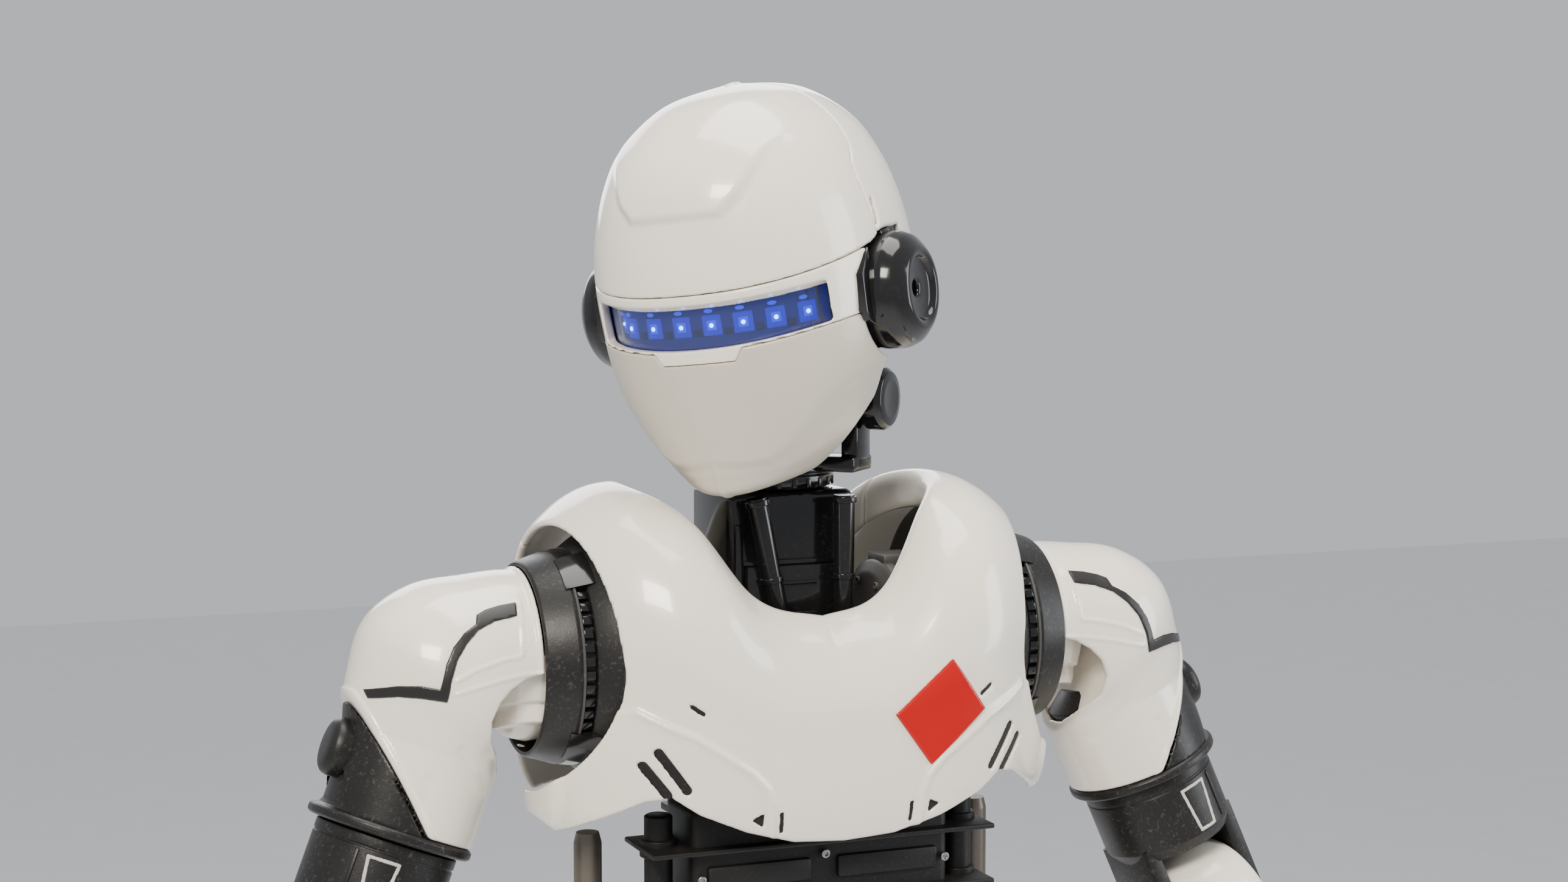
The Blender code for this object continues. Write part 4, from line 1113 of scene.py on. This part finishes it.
# angle round the armpit: distance of the sleeve's centre from it, sleeve radius
FAN = [(0, 66, 50.5), (13, 66, 52), (27, 69, 55), (40, 69, 55), (55, 63, 49), (68, 58, 45.5)]
FAN_END = math.radians(68)
SCOOP = [
    (150, -17.2), (159.2, -17.5), (167.7, -19.4), (177.1, -24.9), (183.8, -31.8), (188.1, -41.5),
    (187, -53), (181, -62), (178, -70), (174.5, -78), (170, -82), (171, -87), (176, -91), (178, -98),
    (182, -105), (182, -175), (120, -175), (120, -17.2),
]
POCKET_LINE = [(193, -12), (192.5, -40), (189, -56), (182, -70), (175, -84), (166, -97), (160, -112)]
DECAL = [
    (169.5, 21.7), (179.3, 20.6), (187.5, 18.7), (193, 16.3), (194.5, 11.6), (201.8, 7.3), (209, -0.1),
    (213.6, -8.9), (217.2, -21.7), (226.6, -19.6), (237.1, -19.3), (251.9, -21.2), (250.6, -25.9),
    (237.3, -25.2), (226.7, -26.4), (213.7, -29), (211.3, -17.5), (207.4, -6.8), (201.5, 1.2),
    (194, 8), (184, 12.2), (170.7, 14.5),
]
DRAWN_LINES = [
    [(167.8, 21.6), (170.5, -6.9), (181.8, -8.5), (196.7, -12.4), (208.3, -17.7)],
    [(159.2, -16.9), (170.3, -17.4), (183.8, -19.4), (197.2, -22.1), (209.1, -25)],
]
SOFT_LINES = [
    [(204.5, -56.7), (198.6, -68.6), (188.4, -79.2)],
    [(222.9, -71), (225.7, -79), (228.5, -88)],
]


def sleeve_skin(x, y, z):
    """The outside of a tube that fans round the armpit, then runs straight down the arm."""
    dx, dz = x - ARMPIT_X, z - ARMPIT_Z
    angle = np.degrees(np.arctan2(dx, dz))
    centre, radius = curve(FAN, np.clip(angle, 0, 68))
    reach = np.hypot(dx, dz)
    straight = dx * math.sin(FAN_END) + dz * math.cos(FAN_END)
    reach = np.where(angle < 0, dz, np.where(angle > 68, straight, reach))
    return np.hypot(reach - centre, y - SHOULDER_Y) - radius


def down_sleeve(x, z):
    """Distance down the straight part of the sleeve."""
    return (x - ARMPIT_X) * math.cos(FAN_END) - (z - ARMPIT_Z) * math.sin(FAN_END)


def sleeve_shape(x, y, z):
    skin = sleeve_skin(x, y, z)
    lift = 1.5 * (1 - smooth_step(x, 160.8, 161.8))
    for points in DRAWN_LINES:
        lift = lift + 1.0 * hump(stroke(x, z, points), 1.1)
    outer = polygon(x, z, [(258, -24), (227, -96), (198, -163), (310, -163), (310, -24)])
    lift = lift + 1.1 * (1 - smooth_step(outer, 2.8, 4.2))
    for points in SOFT_LINES:
        lift = lift - 0.8 * hump(stroke(x, z, points), 3.0)
    shape = soft_max(skin - lift, -(skin + 4), 0.8)
    shape = soft_max(shape, 158.7 - x, 0.6)
    shape = cut(shape, outer, 1.6)
    shape = cut(shape, polygon(x, z, SCOOP), 1.6)
    return soft_max(shape, down_sleeve(x, z) - 45, 1.6)


def pocket_shape(x, y, z):
    """The white back of the scoop, inside the sleeve."""
    skin = sleeve_skin(x, y, z)
    dish = stroke(x, z, POCKET_LINE) - 1.4
    return soft_max(dish, skin + 3.4, 0.6)


def core_panel_shape(x, y, z):
    """The black outer side of the shoulder, flush with the sleeve beyond its cut edge."""
    skin = sleeve_skin(x, y, z)
    outer = polygon(x, z, [(256, -27), (225, -97), (196, -160), (310, -160), (310, -27)])
    shape = soft_max(skin + 1.0, -(skin + 6.5), 0.8)
    shape = soft_max(shape, outer + 1.2, 1.0)
    groove = stroke(x, z, [(240, -70), (222, -112)]) - 0.7
    shape = cut(shape, np.maximum(groove, y + 14), 0.5)
    return soft_max(shape, down_sleeve(x, z) - 46.5, 1.6)


def decal_shape(x, y, z):
    skin = sleeve_skin(x, y, z)
    return soft_max(np.maximum(skin - 0.85, -(skin + 0.8)), np.maximum(polygon(x, z, DECAL), y + 12), 0.3)


def inner_shape(x, y, z):
    """The pleated lining that shows in the scoop: steps run round the armpit."""
    radius = np.hypot(y - SHOULDER_Y, z - SHOULDER_Z) - 4.6 * smooth_step(-z, 30, 46)
    envelope = polygon(
        x, radius,
        [(133.6, -5), (133.6, 44.6), (158, 44.6), (170, 41.5), (180, 34), (185, 22), (186, -5)],
    )
    reach = np.hypot(x - ARMPIT_X, z - ARMPIT_Z)
    steps = np.interp(reach, [18, 20, 30, 31.5, 33, 34, 44, 45.5], [0, -3.2, -4.4, -4.2, -0.4, 0.6, -2.4, 0])
    return soft_max(envelope - steps, z + 8, 1.0)


def ring_solids():
    """The shoulder's dome and band round X, with a groove between them."""
    dome = [(99 + 2 * i, math.sqrt(80**2 - (20 + 2 * i) ** 2)) for i in range(17)]
    profile = [(97, 40), (97, 72), (97.8, 75.5)] + dome + [
        (131.3, 56.7), (137.6, 56.7), (138, 59.6), (141, 60),
    ]
    profile += [(157, 54.9), (158.2, 53.8), (158.2, 51.9), (133, 51.8), (133, 30)]
    return Solids().lathe(profile, moved(0, SHOULDER_Y, SHOULDER_Z) @ TO_X, 0.5, 120)


def ring_details():
    """Teeth in the groove in front and behind, and glossy wedges that close its ends."""
    about = moved(0, SHOULDER_Y, SHOULDER_Z) @ TO_X
    teeth, wedges, rim = Solids(), Solids(), Solids()
    for middle in (270, 90):
        for i in range(-5, 6):
            angle = math.radians(middle + 7.34 * i)
            turn = about @ Matrix.Rotation(angle, 4, "Z")
            teeth.box((55.5, -2.5, 131.9), (60.2, 2.5, 137.4), 0.6, turn)
        rim.lathe(
            [(137.4, 59.0), (137.7, 60.7), (139.0, 60.8), (139.3, 59.0)], about, 0.2, 48, middle - 42,
            84,
        )
        for start in (middle - 66, middle + 41):
            closed = [(126.5, 56), (127, 64.8), (132, 63.4), (139.5, 61.4), (143, 60.3), (143.4, 56)]
            wedges.lathe(closed, about, 0, 3, start, 25)
    for start in (156, 336):
        wedges.lathe(
            [(130.6, 56), (130.9, 61.2), (134.5, 60.9), (139.5, 60.1), (140, 56)], about, 0, 16, start,
            48,
        )
    return teeth, wedges, rim


CORE_PROFILE = [
    (-34, 28), (-44, 40.5), (-62, 40.5), (-62.6, 39.9), (-64, 39.9), (-64.6, 40.5), (-90, 40.5), (-92.6, 42),
    (-93.4, 45.2), (-95, 46.6), (-98, 46.6), (-99.4, 45), (-99.7, 42),
]
FOREARM_ROWS = [(-192, 29), (-170, 31.2), (-110, 38), (-75, 40), (-60, 40), (-42, 36), (-30, 24)]
ARM_RADIUS = 40
MARK_OUTLINE = [(-5.5, -138), (-8.8, -111), (8.8, -111), (5.5, -138), (-5.5, -138)]
FINGER_PATH = [(0, -9), (-3, -35), (-12, -59), (-26, -79)]


def forearm_shape(x, y, z):
    round_radius = curve(FOREARM_ROWS, z)[0]
    skin = np.hypot(x, y) - round_radius
    seams = 0.8 * hump(np.abs(x) - 16, 1.2) * smooth_step(-y, 4, 12)
    seams = seams * smooth_step(-z, 64, 74) * (1 - smooth_step(-z, 160, 170))
    band = 0.8 * hump(z + 182, 1.6)
    tube = soft_max(skin + (band + seams), -192 - z, 1.6)
    tube = soft_max(tube, z + 30, 1.0)
    knuckle = soft_max(np.sqrt(x * x + y * y + z * z) - 47, np.abs(x) - 25.2, 2.0)
    shape = soft_min(knuckle, tube, 4.0)
    bore = np.maximum(np.hypot(x, y) - 25.6, z + 96)
    return cut(shape, bore, 1.0)


def mark_shape(x, y, z):
    """A thin outline of a trapezoid on the upper arm."""
    around = (np.degrees(np.arctan2(x, -y)) - MARK_ANGLE + 180) % 360 - 180
    line = stroke(math.radians(1) * ARM_RADIUS * around, z, MARK_OUTLINE) - 1.0
    skin = np.hypot(x, y) - ARM_RADIUS
    return soft_max(np.maximum(skin - 0.5, -(skin + 0.6)), line, 0.3)


outward = Vector((math.sin(math.radians(14.5)), -math.cos(math.radians(14.5)), 0))
mark_way = UPPER_ARM.to_3x3().inverted() @ outward
MARK_ANGLE = math.degrees(math.atan2(mark_way.x, -mark_way.y))
THUMB_TURN = Matrix.Rotation(math.radians(-12), 4, "X") @ Matrix.Rotation(math.radians(-14), 4, "Y")
THUMB = HAND @ moved(47, 0, -32) @ THUMB_TURN


def finger(solids, x, half, path, thin, matrix=None):
    """A finger of three rounded segments with a knuckle pin between each two."""
    for i in range(3):
        (y0, z0), (y1, z1) = path[i], path[i + 1]
        ahead = Vector((0, y1 - y0, z1 - z0))
        turn = ahead.to_track_quat("Z", "X").to_matrix().to_4x4()
        place = (matrix or Matrix.Identity(4)) @ moved(x, y0, z0) @ turn
        size, deep = half * thin[i], half * thin[i]
        solids.box((-deep, -size, -1.5), (deep, size, ahead.length - 2.6), 2.2, place, 3)
        solids.box(
            (-deep + 1.6, -size + 1.4, ahead.length - 6), (deep - 1.6, size - 1.4, ahead.length + 2),
            1.2, place,
        )
        pin = (matrix or Matrix.Identity(4)) @ moved(x, y0, z0)
        solids.lathe(
            [(-size - 0.4, 2.4), (-size - 0.3, 3.2), (size + 0.3, 3.2), (size + 0.4, 2.4)], pin @ TO_X,
            0.3, 20,
        )


for side, label in SIDES:
    shoulder, sleeve_body = f"shoulder_{label}", f"sleeve_{label}"
    ring_solids().piece(f"shoulder_ring_{label}", DRAWN, shoulder, BLACK, side)
    teeth, wedges, rim = ring_details()
    teeth.piece(f"ring_teeth_{label}", DRAWN, shoulder, GLOSS_BLACK, side)
    wedges.piece(f"ring_wedges_{label}", DRAWN, shoulder, GLOSS_BLACK, side)
    rim.piece(f"ring_rim_{label}", DRAWN, shoulder, GREY, side)
    from_shape(
        f"inner_sleeve_{label}", inner_shape, (132, -64, -66), (188, 40, -6), 1.1, DRAWN, shoulder,
        WHITE, side,
    )
    from_shape(
        f"shoulder_cover_{label}", sleeve_shape, (157, -70, -150), (262, 46, 48), 1.15, DRAWN,
        sleeve_body, WHITE, side,
    )
    from_shape(
        f"sleeve_stripe_{label}", decal_shape, (167, -70, -31), (254, -10, 24), 0.8, DRAWN, sleeve_body,
        INK, side,
    )
    from_shape(
        f"sleeve_pocket_{label}", pocket_shape, (157, -68, -114), (198, 44, -8), 1.1, DRAWN,
        sleeve_body, WHITE, side,
    )
    from_shape(
        f"core_panel_{label}", core_panel_shape, (190, -68, -166), (262, 44, -20), 1.25, DRAWN,
        sleeve_body, BLACK, side,
    )
    core = Solids().lathe(CORE_PROFILE, None, 0.6, 96)
    core.lathe(
        [(34, 16), (40, 16.2), (43, 15.2), (45, 12.6), (45.8, 9), (46, 3)], moved(5.5, -3, -62) @ TO_X,
        1.2, 48,
    )
    core.piece(f"shoulder_core_{label}", SLEEVE, sleeve_body, BLACK, side)

    body = f"arm_{label}"
    arm = Solids().lathe(
        [
            (-100, 36), (-100.6, 40), (-106, 40), (-106.4, 39.4), (-107.4, 39.4), (-107.8, 40),
            (-140, 40), (-147, 36),
        ],
        None, 0.8, 96,
    )
    for low in (26, -36):
        ear = [
            (-22, -138), (-22, -200), (-17, -213), (-8, -218), (8, -218), (17, -213), (22, -200),
            (22, -138),
        ]
        arm.slab(ear, low, low + 10, 1.4, TO_X @ Matrix.Rotation(math.radians(90), 4, "Z"))
        cap = low + 10 if low > 0 else low
        way = 1 if low > 0 else -1
        arm.lathe(
            [(-0.5, 15), (way * 2.0, 15), (way * 2.6, 13), (way * 2.6, 5), (way * 0.6, 4.6)],
            moved(cap, 0, -200) @ TO_X, 0.5, 40,
        )
    for angle in (-64, 116):
        arm.box((39.2, -1.2, -138), (41.0, 1.2, -109), 0.4, Matrix.Rotation(math.radians(angle), 4, "Z"))
    arm.piece(f"upper_arm_{label}", UPPER_ARM, body, BLACK, side)
    from_shape(
        f"arm_mark_{label}", mark_shape, (-42, -42, -141), (42, 42, -108), 0.8, UPPER_ARM, body, MARK,
        side,
    )

    body = f"forearm_{label}"
    from_shape(
        f"forearm_shell_{label}", forearm_shape, (-48, -48, -194), (48, 48, 48), 1.6, FOREARM, body,
        WHITE, side,
    )
    tube = Solids().lathe(
        [
            (-97, 18), (-97, 22), (-190, 22), (-192, 24), (-196, 27), (-199, 27), (-199.4, 26),
            (-201, 26), (-201.4, 27), (-204, 27), (-206, 22),
        ],
        None, 0.6, 64,
    )
    tube.piece(f"forearm_core_{label}", FOREARM, body, DEEP_BLACK, side)

    body = f"hand_{label}"
    palm = Solids().box((-37, -13, -84), (37, 15, -8), 5, segments=4)
    palm.lathe(
        [(-12, 17), (-11, 20), (-6, 20), (-5.5, 19), (-4.5, 19), (-4, 20), (-0.4, 20), (0, 18)], None,
        0.5, 48,
    )
    palm.box((-30, 12, -76), (30, 17.5, -20), 2.5)
    for x in (-24, 24):
        for z in (-70, -26):
            screw(palm, x, 17.4, z, 2.4, TO_Y)
    for z in (-34, -50, -66):
        palm.box((-28, -14.4, z - 5), (28, -10, z + 5), 2)
    palm.box((30, -10, -46), (41, 11, -18), 3)
    palm.piece(f"palm_{label}", HAND, body, DEEP_BLACK, side)
    row, roots = Solids(), HAND @ moved(0, 0, -92)
    row.box((-36.4, -6, -8.6), (36.4, 6, 4), 2)
    row.lathe([(-36.6, 3), (-36.5, 5.4), (36.5, 5.4), (36.6, 3)], TO_X, 0.6, 32)
    for i in range(4):
        finger(row, -29.4 + 19.6 * i, 7.5, FINGER_PATH, (1.0, 0.92, 0.8))
    row.piece(f"fingers_{label}", roots, f"finger_row_{label}", DEEP_BLACK, side)
    thumb = Solids()
    thumb.lathe([(-9, 4), (-8.8, 8), (8.8, 8), (9, 4)], TO_X, 0.8, 32)
    finger(thumb, 0, 8.2, [(0, -3), (-4, -25), (-11, -46), (-18, -59)], (1.0, 0.9, 0.74))
    thumb.piece(f"thumb_{label}", THUMB, f"thumb_body_{label}", DEEP_BLACK, side)


# ---------------------------------------------------------------- pelvis and legs

PELVIS_ROWS = [(962, 118, 58), (982, 124, 66), (1012, 120, 66), (1030, 104, 60)]
THIGH_ROWS = [(-300, 44, 40), (-230, 50, 52), (-150, 55, 58), (-80, 54, 54), (-62, 46, 42)]
SHIN_ROWS = [(-300, 38, 32), (-220, 42, 40), (-140, 46, 50), (-70, 44, 42), (-44, 34, 34)]


def pelvis_shape(x, y, z):
    half_x, half_y = curve(PELVIS_ROWS, z)
    skin = oval_distance(x, y, half_x, half_y, 3.5)
    panel = block(x, np.abs(y), z, (-46, 40, 974), (46, 90, 1014), 6)
    lift = 1.4 * within(panel, 1.5)
    shape = soft_max(skin - lift, -(skin + 4), 1.0)
    return soft_max(soft_max(shape, z - 1030, 1.6), 962 - z, 1.6)


def leg_cover(rows, outline, lift, front, groove, top, back):
    """The shape of a half tube over the front of a leg, with a raised panel and a groove near its end."""
    def shape(x, y, z):
        half_x, half_y = curve(rows, z)
        skin = oval_distance(x, y, half_x, half_y, 2.6)
        raised = lift * within(polygon(x, z, outline), lift) * smooth_step(-y, *front)
        cover = soft_max(skin - raised + 1.1 * hump(z - groove, 1.2), -(skin + 4), 1.0)
        cover = soft_max(soft_max(cover, z - top, 1.6), -300 - z, 1.6)
        return soft_max(cover, y - back, 1.6)
    return shape


THIGH_PANEL = [(-20, -84), (20, -84), (28, -110), (24, -236), (0, -262), (-24, -236), (-28, -110)]
SHIN_PANEL = [(-14, -60), (14, -60), (24, -120), (16, -240), (-16, -240), (-24, -120)]
thigh_shape = leg_cover(THIGH_ROWS, THIGH_PANEL, 1.6, (6, 20), -282, -62, 18)
shin_shape = leg_cover(SHIN_ROWS, SHIN_PANEL, 1.5, (4, 16), -262, -44, 20)
FOOT_ROWS = [(0, 52, 160, 90), (12, 52, 160, 90), (24, 50, 138, 87), (30, 47.5, 102, 84), (36, 43.7, 64, 77)]


def foot_shape(x, y, z):
    """The white upper above the sole: it slopes down to the toe."""
    up = z + 95
    half, toe, heel = curve(FOOT_ROWS, up)
    skin = oval_distance(x, y, half, np.where(y < 0, toe, heel), 3.4)
    shape = soft_max(skin * 0.8, up - 36, 3.0)
    vamp = 0.9 * hump(stroke(x, y, [(-50, -96), (0, -108), (50, -96)]), 1.3)
    return soft_max(shape + vamp, 10.4 - up, 0.6)


def sole_shape(x, y, z):
    up = z + 95
    skin = oval_distance(x, y, 52, np.where(y < 0, 160.0, 90.0), 3.4)
    tread = 1.2 * hump(np.mod(y, 12) - 6, 2.2) * (1 - smooth_step(up, 1, 4)) * (np.abs(x) < 60)
    tread = tread * smooth_step(-skin, 0, 6) + 0.8 * hump(up - 6, 1.1)
    shape = soft_max(skin + tread * 0.6, up - 11, 1.0)
    return soft_max(shape, -up, 1.4)


# distance along the axis, radius, of the caps on the thigh's pins
HIP_CAP = [(37.6, 15), (40.5, 15), (41.5, 13.6), (41.5, 6), (40, 5.4)]
KNEE_CAP = [(33.6, 17), (37, 17), (38, 15.4), (38, 6), (36.6, 5.4)]

hips = Solids().box((-96, -42, 957), (96, 42, 1008), 4, segments=3)
hips.lathe(
    [
        (1000, 44), (1001, 48), (1036, 48), (1037, 46.6), (1039, 46.6), (1040, 48), (1058, 46),
        (1076, 42.4), (1077, 40),
    ],
    None, 0.8, 72,
)
for step in range(12):
    hips.box((46.4, -3, 1044), (49.2, 3, 1056), 1, Matrix.Rotation(math.tau * step / 12, 4, "Z"))
hips.piece("pelvis_frame", PELVIS, "pelvis", DEEP_BLACK)
from_shape("pelvis_cover", pelvis_shape, (-128, -70, 958), (128, 70, 1034), 1.8, PELVIS, "pelvis", WHITE)

for side, label in SIDES:
    bracket = Solids().box((-30, -46, -6.6), (30, 46, -1), 1.5)
    for low in (39, -46):
        bracket.box((-20, low, -66), (20, low + 7, -1), 1.6)
    for y, way in ((46, TO_Y), (-46, TO_FRONT)):
        bracket.lathe(
            [(-1, 12), (0.6, 13), (1.6, 12.4), (1.6, 5), (0.2, 4.6)], moved(0, y, -46) @ way, 0.4, 40,
        )
    bracket.piece(f"hip_bracket_{label}", HIP_YAW, f"hip_{label}", DEEP_BLACK, side)
    block_piece = Solids().box((-29, -38, -64), (29, 38, 22), 4, segments=3)
    for z in (-50, -30, -10, 10):
        block_piece.box((-24, -38.8, z - 5), (24, 38.8, z + 5), 1.5)
    block_piece.piece(f"hip_block_{label}", HIP_ROLL, f"hip_cross_{label}", GREY, side)

    beam = Solids()
    beam.box((-37.4, -30.5, -200), (37.4, 30.5, -48), 7, segments=3)
    beam.box((-35, -28, -356), (35, 28, -190), 7, segments=3)
    for low, high, top in ((29.5, 38, 20), (-38, -29.5, 20)):
        beam.box((low, -20, -60), (high, 20, top), 2)
    for low, high in ((25, 34), (-34, -25)):
        beam.box((low, -20, -410), (high, 20, -348), 2.4)
    for way in (1, -1):
        for profile, at in ((HIP_CAP, TO_X), (KNEE_CAP, moved(0, 0, -390) @ TO_X)):
            profile = [(way * along, radius) for along, radius in profile]
            beam.lathe(profile[::way], at, 0.5, 40)
    for z in (-90, -130, -170, -210, -250, -290):
        beam.box((-26, 27, z - 14), (26, 33.6 if z > -195 else 31, z + 14), 2.5)
    beam.piece(f"thigh_frame_{label}", HIP_PITCH, f"thigh_{label}", DEEP_BLACK, side)
    from_shape(
        f"thigh_cover_{label}", thigh_shape, (-60, -64, -304), (60, 22, -58), 1.8, HIP_PITCH,
        f"thigh_{label}", WHITE, side,
    )

    shank = Solids().lathe([(-24.6, 20), (-24.4, 24), (24.4, 24), (24.6, 20)], TO_X, 1, 64)
    shank.lathe([(-12, 23), (-11.6, 24.6), (11.6, 24.6), (12, 23)], TO_X, 0.5, 64)
    shank.box((-20, -16, -60), (20, 16, -14), 4)
    shank.box((-27.5, -25.5, -200), (27.5, 25.5, -48), 6, segments=3)
    shank.box((-30, -22, -322), (30, 22, -190), 5, segments=3)
    for low, high in ((22, 31), (-31, -22)):
        shank.box((low, -14, -376), (high, 14, -318), 2.4)
    for z in (-80, -116, -152, -188, -224, -260):
        shank.box((-20, 21, z - 12), (20, 28.5 if z > -195 else 25.5, z + 12), 2.2)
    shank.piece(f"shin_frame_{label}", KNEE, f"shin_{label}", DEEP_BLACK, side)
    from_shape(
        f"shin_cover_{label}", shin_shape, (-50, -56, -304), (50, 24, -40), 1.8, KNEE, f"shin_{label}",
        WHITE, side,
    )

    ankle = Solids().box((-21.6, -17, -40), (21.6, 17, 12), 3)
    for z in (-30, -14):
        ankle.box((-14, -17.8, z - 4), (14, 17.8, z + 4), 1)
    ankle.piece(f"ankle_block_{label}", ANKLE_PITCH, f"ankle_{label}", GREY, side)
    from_shape(
        f"foot_{label}", foot_shape, (-54, -164, -86), (54, 94, -57), 1.7, ANKLE_ROLL, f"sole_{label}",
        WHITE, side,
    )
    from_shape(
        f"foot_sole_{label}", sole_shape, (-54, -163, -96), (54, 93, -83), 1.5, ANKLE_ROLL,
        f"sole_{label}", RUBBER, side,
    )
    posts = Solids()
    for low in (18, -26):
        posts.box((-15, low, -66), (15, low + 8, 12), 2.4)
    for y, way in ((26, TO_Y), (-26, TO_FRONT)):
        posts.lathe([(-1, 9), (0.8, 9.6), (1.6, 9), (1.6, 4), (0.4, 3.6)], moved(0, y, 0) @ way, 0.3, 32)
    posts.piece(f"foot_posts_{label}", ANKLE_ROLL, f"sole_{label}", DEEP_BLACK, side)


# ---------------------------------------------------------------- stage

def area_light(name, place, aim, size, power, colour=(1, 1, 1)):
    light = bpy.data.lights.new(name, "AREA")
    light.shape = "RECTANGLE"
    light.size, light.size_y = size
    light.energy = power
    light.color = colour
    made = bpy.data.objects.new(name, light)
    made.location = place
    made.rotation_euler = (Vector(aim) - Vector(place)).to_track_quat("-Z", "Y").to_euler()
    bpy.context.scene.collection.objects.link(made)


def build_stage():
    floor_mesh = bpy.data.meshes.new("floor")
    reach = 9.0
    floor_mesh.from_pydata(
        [(-reach, -reach, 0), (reach, -reach, 0), (reach, reach, 0), (-reach, reach, 0)], [],
        [(0, 1, 2, 3)],
    )
    floor = bpy.data.objects.new("floor", floor_mesh)
    bpy.context.scene.collection.objects.link(floor)
    floor_mesh.materials.append(plastic("floor_pale", (0.86, 0.86, 0.87), 0.6, tone=0.01, grain=0.0))
    chest = CHEST_AT
    world = bpy.data.worlds.new("studio")
    bpy.context.scene.world = world
    world.use_nodes = True
    background = world.node_tree.nodes["Background"]
    background.inputs["Color"].default_value = (0.93, 0.95, 1.0, 1)
    background.inputs["Strength"].default_value = 0.62
    area_light("key", chest + Vector((-1.3, -1.8, 1.7)), chest, (1.1, 0.8), 100, (1.0, 0.93, 0.83))
    area_light("top", chest + Vector((0.2, 0.1, 2.0)), chest, (1.6, 1.2), 46, (1.0, 0.97, 0.93))
    area_light("fill", chest + Vector((2.0, -1.0, 0.5)), chest, (0.9, 1.6), 30, (0.92, 0.96, 1.0))
    area_light("rear", chest + Vector((0.4, 2.4, 0.9)), chest, (1.8, 1.2), 28, (0.95, 0.97, 1.0))
    camera = bpy.data.cameras.new("camera")
    camera.lens = 61
    camera.sensor_width = 36
    holder = bpy.data.objects.new("camera", camera)
    holder.location = chest + Vector((-0.5729, -1.4309, 0.2405))
    aim = chest + Vector((0.007, 0, 0.104))
    holder.rotation_euler = (aim - holder.location).to_track_quat("-Z", "Y").to_euler()
    bpy.context.scene.collection.objects.link(holder)
    bpy.context.scene.camera = holder


build_stage()
